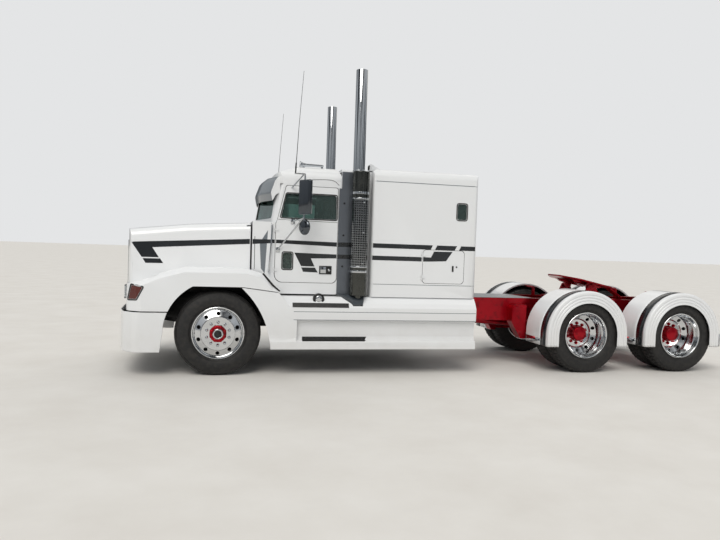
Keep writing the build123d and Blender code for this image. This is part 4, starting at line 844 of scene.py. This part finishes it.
def hole_sectors(x, y, face, depth):
    """Ring with hand holes, depth behind the disc's face: rays from each hole's edge reach its sector's border."""
    half = HOLE_PCR * math.pi / HOLES
    low, high = CONE_IN[1] - HOLE_PCR, CONE_OUT[1] - HOLE_PCR
    corners = [math.atan2(t, r) for r in (low, high) for t in (half, -half)]
    phi = np.unique(np.concatenate([np.linspace(-math.pi, math.pi, 57), corners]))
    c, s = np.cos(phi), np.sin(phi)
    with np.errstate(divide="ignore"):
        reach = np.minimum(np.where(c > 0, high, low) / c, half / np.abs(s))
    span = HOLE_R + (reach[:, None] - HOLE_R) * np.linspace(0, 1, 7)
    radius, tau = HOLE_PCR + c[:, None] * span, s[:, None] * span / HOLE_PCR
    angles = [tau + FULL_TURN * (k + 0.5) / HOLES for k in range(HOLES)]
    return ([cone_point(x, y, face, depth, radius, angle) for angle in angles],
            [grid_of(angle / FULL_TURN, radius * MM) for angle in angles])


def hole_sleeves(x, y, face):
    """Short tubes that line the hand holes from the disc's face to its back."""
    edge = np.linspace(0, FULL_TURN, 33)
    radius, tau = HOLE_PCR + HOLE_R * np.cos(edge), HOLE_R * np.sin(edge) / HOLE_PCR
    return [np.stack([cone_point(x, y, face, depth, radius, tau + FULL_TURN * (k + 0.5) / HOLES)
                      for depth in (0.0, DISC_DEPTH)], 1) for k in range(HOLES)]


def wheels(x, places):
    """Sheets, their maps and the hole sleeves of the wheels at x; a place is Y and the way the disc stands out.

    On a map U is the turn from 0 to 1 and V the radius in metres.
    """
    sheets, maps, sleeves = [], [], []
    turn = np.linspace(0, 1, RIM_SEGMENTS + 1)[:, None]
    for y, face in places:
        for line in WHEEL_LINES:
            sheets.append(turned(line, (x, y, AXLE_Z), RIM_SEGMENTS, face))
            maps.append(grid_of(turn, np.array(line)[:, 1] * MM))
        for depth in (0.0, DISC_DEPTH):
            holes, hole_maps = hole_sectors(x, y, face, depth)
            sheets += holes
            maps += hole_maps
        sleeves += hole_sleeves(x, y, face)
    return sheets, maps, sleeves


def nuts(x, y, count, pitch_r, height):
    """Nuts with domed caps and washers round the hub."""
    line = [(0.0, 24.0), (3.0, 24.0), (3.0, 18.0), (height * 0.55, 18.0), (height * 0.7, 16.0),
            (height * 0.92, 11.0), (height, 5.0), (height, 0.0)]
    turns = [FULL_TURN * (k + 0.5) / count for k in range(count)]
    return [turned(line, (x + pitch_r * math.cos(turn), y, AXLE_Z + pitch_r * math.sin(turn)), NUT_SEGMENTS)
            for turn in turns]


class TRACTOR_OT_wheels(bpy.types.Operator):
    """Polished wheels with hand holes, drums, hubs and nuts."""
    bl_idname = "tractor.wheels"
    bl_label = "Wheels"

    def execute(self, context):
        centre, body = (0, FRONT_WHEEL_Y, AXLE_Z), "front_wheel_{}"
        sheets, maps, sleeves = wheels(0, [(FRONT_WHEEL_Y, 1)])
        hub = [turned(STEER_HUB, centre, 72)] + nuts(0, FRONT_WHEEL_Y + 190, 8, 84, 16)
        piece("steer_rim_{}", sheets, "polished", body, replaces=[body], maps=maps, sharp=30)
        piece("steer_hole_sleeves_{}", sleeves, "polished", body)
        piece("steer_drum_{}", [turned(DRUM, centre, 72)], "lining", body, "black_metal")
        piece("steer_nuts_{}", nuts(0, FRONT_WHEEL_Y + DISC_OFFSET, 10, NUT_PCR, 30), "bright", body, sharp=25)
        piece("steer_hub_{}", hub, "red", body, sharp=25)
        piece("steer_cap_ring_{}", [turned(CAP_RING, centre, 72)], "bright", body)
        piece("steer_cap_window_{}", [turned(CAP_WINDOW, centre, 48)], "black", body)
        face = DUAL_OUTER_Y - DISC_OFFSET + DISC_DEPTH
        for number, x in enumerate(DRIVE_X, 1):
            body, end = f"drive_wheels_{number}_{{}}", f"_{number}_{{}}"
            sheets, maps, sleeves = wheels(x, [(DUAL_OUTER_Y, -1), (DUAL_INNER_Y, 1)])
            piece("twin_rims" + end, sheets, "polished", body, replaces=[body], maps=maps, sharp=30)
            piece("twin_hole_sleeves" + end, sleeves, "polished", body)
            piece("twin_drum" + end, [turned(DRUM, (x, DUAL_INNER_Y, AXLE_Z), 72)], "lining", body, "black_metal")
            piece("drive_nuts" + end, nuts(x, face, 10, NUT_PCR, 34), "red", body, sharp=25)
            piece("drive_hub" + end, [turned(DRIVE_HUB, (x, face, AXLE_Z), 72)], "red", body)
        return {"FINISHED"}


# Rear fenders


FENDER_LOW, FENDER_OUT, FLANGE_IN = 375.0, 1262, 455
FLANGE_RIBS, RIB_RISE, RIB_WIDTH = [566, 526, 486], 9, 6.0
PLATE_R, PLATE_Y, PLATE_Z = 627.0, (640, 1046), (378, 470)


def fender_band(x, section, sign):
    """Fender surface: a section (radius, y) carried up the front leg, over a half circle and down the rear leg."""
    radius, y = np.asarray(section, float).T
    legs = np.linspace(FENDER_LOW, AXLE_Z, 6, endpoint=False)
    arc = np.linspace(0, math.pi, 73)
    turn = np.concatenate([0 * legs, arc, 0 * legs + math.pi])[:, None]
    base = np.concatenate([legs, 0 * arc + AXLE_Z, legs[::-1]])[:, None]
    return grid_of(x + radius * np.cos(turn), sign * y, base + radius * np.sin(turn))


class TRACTOR_OT_rear_fenders(bpy.types.Operator):
    """Round fenders over the twin tyres, with ribbed outer flanges, a dark band and bright lower corners."""
    bl_idname = "tractor.rear_fenders"
    bl_label = "Rear fenders"

    def execute(self, context):
        top = [(597, 630), (625, 630), (625.4, 800), (625.4, 1000), (625.4, 1050)]
        stripe = [(625.4, 1050), (625.4, 1130), (625, 1198)]
        flange_r = np.linspace(600, FLANGE_IN, 45)
        ribs = np.exp(-((flange_r[:, None] - FLANGE_RIBS) / RIB_WIDTH) ** 2).sum(1)
        edge = rounded_line([(625, 1198), (624, 1232), (616, 1256), (600, FENDER_OUT)], 16)
        outer = np.vstack([edge, grid_of(flange_r, FENDER_OUT - RIB_RISE * ribs)[1:], [(FLANGE_IN, 1250)]])
        shells, bands, plates = [], [], []
        for x in DRIVE_X:
            for _, sign in SIDES:
                shells += [fender_band(x, top, sign), fender_band(x, outer, sign)]
                bands.append(fender_band(x, stripe, sign))
                plates += [np.array([[(x + end * PLATE_R, sign * y, z) for z in PLATE_Z] for y in PLATE_Y])
                           for end in (1, -1)]
        # the fenders' inner faces are black lining, partly painted shade for their dark undersides
        piece("rear_fender_shells", shells, "white", replaces=["round_fenders"], wall=4, lining="lining")
        piece("rear_fender_bands", bands, "film", slot="black_plastic", wall=4, lining="lining")
        piece("rear_fender_plates", plates, "bright", wall=1)
        return {"FINISHED"}


# Exhaust


# profiles about the stack's and the muffler's upright axes, as (height, radius)
CAN = rounded_line([(1030, 0.01), (1030, 104), (1036, 111), (2636, 111), (2640, 104), (2640, 0.01)], 4)
PIPE = [(2630, 76), (3941, 76), (3943, 75), (3943, 72.5), (3941, 72), (3000, 72), (3000, 0.01)]
COLLAR = rounded_line([(2640, 76), (2640, 84), (2652, 84), (2658, 76)], 3)
BANDS = [rounded_line([(z, 110), (z, 114.5), (z + 30, 114.5), (z + 30, 110)], 2) for z in (1330, 2345)]
GUARD_RIMS = [[(z, 110), (z, 115.4), (z + 3, 116.4), (z + 15, 116.4), (z + 18, GUARD_R), (z + 18, 110)]
              for z in (GUARD_LOW - 6, GUARD_HIGH - 12)]
ELBOW = [(MUFFLER_X, STACK_Y, 1045), (MUFFLER_X, STACK_Y - 20, 960), (MUFFLER_X, STACK_Y - 60, 850),
         (MUFFLER_X, STACK_Y - 150, 786), (MUFFLER_X, 640, 780), (MUFFLER_X, 440, 780)]
# each line of the muffler's shoe: Y, height of the skirt under it, its own height, front X, rear X, and whether
# its ends turn down to the skirt
SHOE = [(1012, 1013, 1036, -1492, -1850, 1), (1100, 1009, 1036, -1540, -1850, 1),
        (1136, 970, 1018, -1600, -1846, 1), (1172, 928, 968, -1668, -1836, 1),
        (1188, 897, 926, -1694, -1826, 1), (1189, 894, 896, -1696, -1824, 0)]


class TRACTOR_OT_exhaust(bpy.types.Operator):
    """Bright stacks and guarded mufflers."""
    bl_idname = "tractor.exhaust"
    bl_label = "Exhaust"

    def execute(self, context):
        stack, muffler = (STACK_X, STACK_Y, 0), (MUFFLER_X, STACK_Y, 0)
        bright = [turned(PIPE, stack, 64, axis=2), turned(COLLAR, stack, 64, axis=2)]
        bright += [turned(line, muffler, 64, axis=2) for line in BANDS + GUARD_RIMS]
        bright += [rounded_box((MUFFLER_X - 30, 950.3, z - 25), (MUFFLER_X + 30, 1020, z + 25), 4)
                   for z in (1330, 2360)]
        bright += [rounded_box((MUFFLER_X - 36, 1214, z - 9), (MUFFLER_X - 14, 1224, z + 9), 4)
                   for z in (1452, 1850, 2240)]
        can = [turned(CAN, muffler, 64, axis=2), tube(smooth_line(ELBOW, 8), 52, 32)]
        shoe = np.array([[(front - 6 * edge, out, low if edge else high), (front, out, high), (rear, out, high),
                          (rear + 6 * edge, out, low if edge else high)]
                         for out, low, high, front, rear, edge in SHOE], float)
        guard = turned([(GUARD_LOW, GUARD_R), (GUARD_HIGH, GUARD_R)], muffler, 96, axis=2)
        turn = np.linspace(0, FULL_TURN * GUARD_R * MM, 97)[:, None]
        guard_map = grid_of(turn, np.array([GUARD_LOW, GUARD_HIGH]) * MM)
        piece("stack_{}", bright, "bright", sharp=30)
        piece("muffler_{}", can, "can", sharp=30)
        # the shoe's dark slate is partly painted shade for the dark patch on the skirt's top below the muffler
        piece("muffler_shoe_{}", [shoe], "slate_painted_shade", wall=3)
        piece("stack_guard_{}", [guard], "guard", maps=[guard_map])
        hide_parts("mufflers", "stacks")
        return {"FINISHED"}


# Mirrors, horns and aerials


MIRROR_TURN = 33.5
MIRROR_BAR_X, MIRROR_Y = -1010, 1290
HEAD_PIVOT, SPOT_PIVOT = (-1020, 1294.5), (-1013, MIRROR_Y)
HEAD_LOW, HEAD_HIGH = (-1045, 1186.5, 2045), (-992, 1402.5, 2479)
FACE_LOW, FACE_HIGH = (-1048, 1196.5, 2055), (-1043, 1392.5, 2469)
SPOT_SHELL = [(-994, 0.01), (-994, 60), (-1004, 86), (-1020, 98), (-1030, 99), (-1033, 94)]
SPOT_FACE = [(-1031, 94), (-1033, 90), (-1033.5, 0.01)]
UPPER_ARM = [(MIRROR_BAR_X, MIRROR_Y, 1900), (MIRROR_BAR_X, MIRROR_Y, 2300), (MIRROR_BAR_X, MIRROR_Y, 2510),
             (-1000, 1278, 2545), (-960, 1160, 2498), (-883, 962, 2398)]
GRAB_RAIL = [(-612, 985, 1318), (-614, 1022, 1345), (-636, 1026, 1700), (-640, 1010, 1905), (-640, 972, 1925)]
AERIAL = [(-888, MIRROR_Y, 2545), (-915, MIRROR_Y, 3150), (-956, MIRROR_Y, 3816)]
AERIAL_COIL = [(-888, MIRROR_Y, 2548), (-893, MIRROR_Y, 2680)]
HORN_MOUTH_X = -1060
ROOF_Z, ROOF_FALL, ROOF_HALF = 2712, 25, 965


class TRACTOR_OT_mirrors(bpy.types.Operator):
    """Door mirrors on their bars, round spot mirrors, aerials and roof horns."""
    bl_idname = "tractor.mirrors"
    bl_label = "Mirrors and horns"

    def execute(self, context):
        radius = context.scene.tractor_sizes.bar_radius / MM
        bars = [tube(smooth_line(UPPER_ARM, 6), radius),
                tube([(MIRROR_BAR_X, MIRROR_Y, 2000), (-905, CAB_Y, 1966)], radius),
                tube([(MIRROR_BAR_X, MIRROR_Y, 2010), (-722, CAB_Y, 1596)], radius),
                tube([(MIRROR_BAR_X, MIRROR_Y, 2548), (-878, MIRROR_Y, 2548)], radius * 0.9)]
        bars += [rounded_box((x - 26, CAB_Y, z - 34), (x + 26, CAB_Y + 7, z + 34), 3)
                 for x, z in ((-905, 1964), (-722, 1592))]
        heads, faces = ([swung(rounded_box(low, high, edge), HEAD_PIVOT, MIRROR_TURN),
                         swung(turned(spot, (0, MIRROR_Y, 1887), 48, axis=0), SPOT_PIVOT, MIRROR_TURN)]
                        for low, high, edge, spot in ((HEAD_LOW, HEAD_HIGH, 24, SPOT_SHELL),
                                                      (FACE_LOW, FACE_HIGH, 2, SPOT_FACE)))
        aerial = [tube(AERIAL, [5.0, 3.2, 2.2], 8), tube(AERIAL_COIL, 9)]
        piece("mirror_bars_{}", bars, "bright", "door_{}", "mirror_chrome", ["mirror_{}"])
        piece("mirror_heads_{}", heads, "shell", "door_{}")
        piece("mirror_faces_{}", faces, "reflector", "door_{}")
        piece("aerial_{}", aerial, "seal", "door_{}", "mirror_chrome")
        piece("grab_rail_{}", [tube(smooth_line(GRAB_RAIL, 8), 11)], "bright")
        horns = []
        for y, length in ((300, 330), (-300, 290)):
            base = ROOF_Z - ROOF_FALL * abs(y) / ROOF_HALF + 1
            axis_line, end = (0, y, base + 84), HORN_MOUTH_X - length
            bell = rounded_line([(-1058, 30), (-1058, 51), (-1064, 52), (-1080, 44), (-1110, 30), (-1150, 22),
                                 (end + 40, 18), (end, 17), (end - 3, 0.01)], 10)
            inside = [(-1058, 50), (-1080, 40), (-1110, 26), (-1150, 14), (-1150, 0.01)]
            horns += [turned(line, axis_line, 48, axis=0) for line in (bell[1:], inside)]
            horns += [rounded_box((foot - 14, y - 14, base), (foot + 14, y + 14, base + 66), 3)
                      for foot in (-1110, end + 20)]
        piece("roof_trumpets", horns, "bright", replaces=["roof_horns"])
        return {"FINISHED"}


# Frame and running gear


class TRACTOR_OT_chassis(bpy.types.Operator):
    """Red frame, axles, springs, shafts, fifth wheel, engine, radiator and tanks."""
    bl_idname = "tractor.chassis"
    bl_label = "Chassis"

    def execute(self, context):
        for node in ("frame_rails", "frame_brackets", "front_axle", "suspension", "drive_axles",
                     "fifth_wheel_plate", "fifth_wheel_stand"):
            dressed(node, "chassis", 3.0)
        for node in ("drive_shafts", "tie_rod", "knuckle_{}"):
            dressed(node, "chassis", 1.0)
        dressed("engine", "cast", 6.0)
        dressed("radiator", "cast", 3.0)
        dressed("tanks", "aluminium", 0.0, sharp=40)
        return {"FINISHED"}


# Lamps, grille, interior


LENS_EDGE = [(1072, 940), (1034, 1112), (900, 1090), (974, 945)]


class TRACTOR_OT_front(bpy.types.Operator):
    """Grille, headlamps and turn lenses with their black bezels."""
    bl_idname = "tractor.front"
    bl_label = "Front"

    def execute(self, context):
        dressed("grille", "bright", 2.0)
        dressed("headlamps", "clear_lens", 1.0)
        dressed("turn_lenses", "amber_lens", 1.0)
        laid("lens_bezel_{}", [ribbon(spaced(closed_line(LENS_EDGE, 3), 8), 16, -10)], "hood", "black", 2.5)
        return {"FINISHED"}


def sewn_pad(low, high, axis, channels):
    """Stuffed pad as two sheets over a square grid (u, v): both swell from a sewn edge, fast and then level, the
    sides pull in between the corners, and narrow channels across u are pressed in."""
    low, high = np.asarray(low, float), np.asarray(high, float)
    u = np.sin(np.linspace(-math.pi / 2, math.pi / 2, 73))[:, None]
    v = np.sin(np.linspace(-math.pi / 2, math.pi / 2, 31))[None, :]
    swell = (1 - np.abs(u) ** 5) ** 0.35 * (1 - np.abs(v) ** 5) ** 0.35 * (1 - 0.14 * u ** 2 - 0.1 * v ** 2)
    for place in channels:
        swell = swell * (1 - 0.2 * np.exp(-((u - place) / 0.045) ** 2))
    wide = u * (1 - 0.035 * (1 - v ** 2) - 0.05 * v ** 6)
    deep = v * (1 - 0.035 * (1 - u ** 2) - 0.05 * u ** 6)
    sheets = []
    for side in (1, -1):
        along = [side * swell, deep, wide] if axis == 0 else [wide, deep, side * swell]
        sheets.append((low + high) / 2 + (high - low) / 2 * np.stack(along, -1))
    return sheets


# name, lowest and highest corner, axis along which it swells, places of its channels
PADS = [("seat_cushion_{}", (-1340, 222, 1382), (-960, 698, 1500), 2, (-0.45, 0.0, 0.45)),
        ("seat_back_{}", (-1466, 236, 1470), (-1352, 684, 2010), 0, (-0.5, -0.2, 0.1, 0.4)),
        ("head_rest_{}", (-1480, 330, 2022), (-1400, 590, 2168), 0, ())]


class TRACTOR_OT_interior(bpy.types.Operator):
    """Padded seats on their boxes, and the dash."""
    bl_idname = "tractor.interior"
    bl_label = "Interior"

    def execute(self, context):
        boxes = [rounded_box((-1420, 260, 1070), (-1020, 660, 1400), 14),
                 rounded_box((-1494, 300, 1430), (-1462, 620, 2100), 14)]
        for name, *shape in PADS:
            for pad in piece(name, sewn_pad(*shape), "cloth", sharp=50):
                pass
        piece("seat_boxes", boxes + [box * (1, -1, 1) for box in boxes], "black", slot="seat_fabric",
              replaces=["seats"])
        dressed("dash", "black", 4.0)
        return {"FINISHED"}


# Stripes and trim


# name, node, finish, lift over the paint, and the corners (x, z) of each band
STRIPES = [
    ("hood_stripes_{}", "hood", "film", 1.4,
     [[(1083, 1635), (-369, 1720), (-369, 1656), (828, 1574)],
      [(1083, 1635), (828, 1574), (745, 1450), (953, 1450)],
      [(940, 1434), (731, 1436), (691, 1379), (905, 1377)]]),
    # grey film on the cowl side ahead of the door: painted shade for its inward-curving recess
    ("cowl_recess_{}", "cab_shell", "grey", 0.6, [[(-593, 1842), (-566, 1285), (-516, 1345), (-494, 1675)]]),
    ("cowl_stripes_{}", "cab_shell", "film", 1.4, [[(-402, 1720), (-686, 1723), (-686, 1678), (-402, 1657)]]),
    ("door_stripes_{}", "door_{}", "film", 1.4,
     [[(-697, 1723), (-1490, 1714), (-1490, 1658), (-697, 1678)],
      [(-936, 1563), (-1490, 1556), (-1490, 1504), (-1153, 1495)],
      [(-936, 1563), (-1153, 1495), (-1204, 1390), (-1028, 1392)],
      [(-1032, 1374), (-1211, 1376), (-1249, 1313), (-1055, 1319)]]),
    ("panel_stripes_{}", "stack_panels", "film", 1.4,
     [[(-1503, 1715), (-1678, 1718), (-1678, 1660), (-1503, 1657)],
      [(-1503, 1556), (-1678, 1557), (-1678, 1500), (-1503, 1502)]]),
    ("sleeper_stripes_{}", "sleeper_shell", "film", 1.4,
     [[(-1935, 1720), (-2772, 1720), (-2745, 1661), (-1935, 1661)],
      [(-2834, 1720), (-3114, 1720), (-3084, 1661), (-2806, 1661)],
      [(-3173, 1720), (-3385, 1720), (-3385, 1661), (-3146, 1661)],
      [(-1935, 1558), (-2637, 1558), (-2637, 1500), (-1935, 1500)]]),
    ("hatch_stripes_{}", "hatch_{}", "film", 1.4,
     [[(-2644, 1558), (-2752, 1556), (-2725, 1501), (-2644, 1500)],
      [(-2791, 1637), (-3053, 1640), (-2965, 1512), (-2725, 1501)]])]
FOOT_TREAD = [(-1050, 494), (-1896, 494), (-1862, 440), (-1050, 440)]


class TRACTOR_OT_stripes(bpy.types.Operator):
    """Charcoal stripes along hood, cowl, doors, side panels, sleeper and hatches, and a grey film of painted shade
    in the cowl's recess.
    """
    bl_idname = "tractor.stripes"
    bl_label = "Stripes"

    def execute(self, context):
        for name, node, material, lift, outlines in STRIPES:
            laid(name, [patch(corners) for corners in outlines], node, material, lift)
        lines = [ribbon(spaced([(-930, z), (-3392, z)], 40), 7) for z in (818, 714)]
        laid("skirt_seams_{}", lines, "side_skirts", "grey", 0.6)
        laid("foot_tread_{}", [patch(FOOT_TREAD, wide_steps=16)], "side_skirts", "black", 1.2)
        return {"FINISHED"}


DOOR_WINDOW = closed_line([(-750, 2014), (-821, 2323), (-1475, 2323), (-1475, 2007)], 16)
PEEP_WINDOW = closed_line([(-787, 1349), (-787, 1561), (-911, 1561), (-911, 1349)], 18)
SLEEPER_WINDOW = closed_line([(-3102, 2072), (-3102, 2286), (-3238, 2286), (-3238, 2072)], 26)
# thin dark line under the door window: painted shade of the door skin's crease
DOOR_CREASE_SHADE = spaced([(-706, 1984), (-1490, 1972)], 12)
GUTTER = smooth_line([(-1120, 2514), (-1329, 2527), (-1438, 2514), (-1505, 2462)], 10)
COWL_SEAM = [(-430, 1757), (-433, 1335)]
SLEEPER_SEAMS = [(2532, 9), (1185, 7)]
PANEL_BOLTS = [(-1572, 2228), (-1572, 1810), (-1570, 1403), (-1568, 1697), (-1652, 1697), (-1568, 1531),
               (-1650, 1531)]
BUTTON = [(7, 15), (13, 15), (15, 12), (15, 0.01)]
LOCK = [(0, 11), (5, 11), (7, 8), (7, 0.01)]
BOLT = [(6, 13), (10, 13), (14, 8), (14, 0.01)]
FUEL_CAP = rounded_line([(1122, 74), (1150, 74), (1158, 66), (1158, 50), (1150, 46)], 5)
FUEL_KNOB = rounded_line([(1140, 46), (1156, 40), (1162, 24), (1162, 0.01)], 5)
CAP_CENTRE = (-1250, 0, 978)
HOOD_RUBBER = [(-532, 1128, 1288), (-600, 1132, 1212), (-662, 1136, 1142), (-748, 1140, 1066)]
VENT_BASE = 2680.0
VENT_RIDGE = rounded_line([(-1908, VENT_BASE), (-1912, 2768), (-1950, 2762), (-2076, 2694), (-2078, VENT_BASE)], 14)


def roof_vent():
    """Wedge on the sleeper's roof: its ridge line drawn across, from the roof up one side and down the other."""
    across, rise = np.array([(0.0, 0.0), (0.0, 1.0), (0.1, 1.0), (0.9, 1.0), (1.0, 1.0), (1.0, 0.0)]).T
    return grid_of(VENT_RIDGE[:, :1], 835 + 120 * across, VENT_BASE + (VENT_RIDGE[:, 1:] - VENT_BASE) * rise)


class TRACTOR_OT_trim(bpy.types.Operator):
    """Window seals, seams, gutters, handles, latches, bolts, fuel caps, the hood's rubber and the roof vents."""
    bl_idname = "tractor.trim"
    bl_label = "Trim"

    def execute(self, context):
        width = context.scene.tractor_sizes.seal_width / MM
        door_seal, peep_seal, port_seal = (ribbon(outline, width, -width / 2 - 1)
                                           for outline in (DOOR_WINDOW, PEEP_WINDOW, SLEEPER_WINDOW))
        sleeper_lines = [ribbon(spaced([(-1936, z), (-3380, z)], 18), wide) for z, wide in SLEEPER_SEAMS]
        laid("door_seals_{}", [door_seal, peep_seal], "door_{}", "seal", 1.6)
        # the crease under the door window is drawn as a black line of painted shade
        laid("door_crease_{}", [ribbon(DOOR_CREASE_SHADE, 5)], "door_{}", "seal", 0.5)
        laid("cab_seams_{}", [ribbon(GUTTER, 7), ribbon(COWL_SEAM, 7)], "cab_shell", "seal", 0.6)
        laid("sleeper_seams_{}", sleeper_lines, "sleeper_shell", "grey", 0.6)
        laid("sleeper_window_seal_{}", [port_seal], "sleeper_shell", "seal", 2.0)
        piece("handle_plate_{}", [rounded_box((-1430, 1001, 1293), (-1266, 1008, 1402), 14)], "black", "door_{}")
        piece("handle_{}", [rounded_box((-1356, 1006, 1306), (-1280, 1017, 1390), 12),
                            turned(BUTTON, (-1396, CAB_Y, 1347), 24)], "bright", "door_{}")
        piece("hatch_latch_{}", [rounded_box((-3076, SLEEPER_Y, 1372), (-3052, SLEEPER_Y + 7, 1452), 10),
                                 turned(LOCK, (-3118, SLEEPER_Y, 1437), 20)], "black", "hatch_{}")
        piece("panel_bolts_{}", [turned(BOLT, (x, CAB_Y, z), 20) for x, z in PANEL_BOLTS], "black")
        piece("fuel_cap_{}", [turned(FUEL_CAP, CAP_CENTRE, 48)], "black")
        piece("fuel_cap_knob_{}", [turned(FUEL_KNOB, CAP_CENTRE, 48)], "bright")
        piece("hood_rubber_{}", [tube(smooth_line(HOOD_RUBBER, 6), 13, 12)], "seal", "hood")
        piece("roof_vent_{}", [roof_vent()], "white", bevel=4)
        # black block in the vent's mouth: painted shade for the dark opening
        piece("roof_vent_mouth_{}", [rounded_box((-1914, 848, 2696), (-1905, 942, 2752), 4)], "lining")
        return {"FINISHED"}


OPERATORS = (TRACTOR_OT_stage, TRACTOR_OT_bodywork, TRACTOR_OT_glass, TRACTOR_OT_tyres, TRACTOR_OT_wheels,
             TRACTOR_OT_rear_fenders, TRACTOR_OT_exhaust, TRACTOR_OT_mirrors, TRACTOR_OT_chassis,
             TRACTOR_OT_front, TRACTOR_OT_interior, TRACTOR_OT_stripes, TRACTOR_OT_trim)


class TRACTOR_PT_panel(bpy.types.Panel):
    """Shows the truck's settings and the buttons that make its pieces, in the sidebar."""
    bl_idname = "TRACTOR_PT_panel"
    bl_label = "Tractor unit"
    bl_space_type = "VIEW_3D"
    bl_region_type = "UI"
    bl_category = "Tractor"

    def draw(self, context):
        for group in (context.scene.tractor_stage, context.scene.tractor_paint, context.scene.tractor_sizes):
            for name in group.bl_rna.properties.keys():
                if name not in ("rna_type", "name"):
                    self.layout.prop(group, name)
        for operator in OPERATORS:
            self.layout.operator(operator.bl_idname)


CLASSES = (TractorStage, TractorPaint, TractorSizes, *OPERATORS, TRACTOR_PT_panel)


def register():
    for kind in CLASSES:
        bpy.utils.register_class(kind)
    bpy.types.Scene.tractor_stage = bpy.props.PointerProperty(type=TractorStage)
    bpy.types.Scene.tractor_paint = bpy.props.PointerProperty(type=TractorPaint)
    bpy.types.Scene.tractor_sizes = bpy.props.PointerProperty(type=TractorSizes)


def unregister():
    del bpy.types.Scene.tractor_stage
    del bpy.types.Scene.tractor_paint
    del bpy.types.Scene.tractor_sizes
    for kind in reversed(CLASSES):
        bpy.utils.unregister_class(kind)


def main():
    """Makes every piece."""
    register()
    make_materials()
    for operator in OPERATORS:
        group, name = operator.bl_idname.split(".")
        getattr(getattr(bpy.ops, group), name)()


if __name__ == "__main__":
    main()
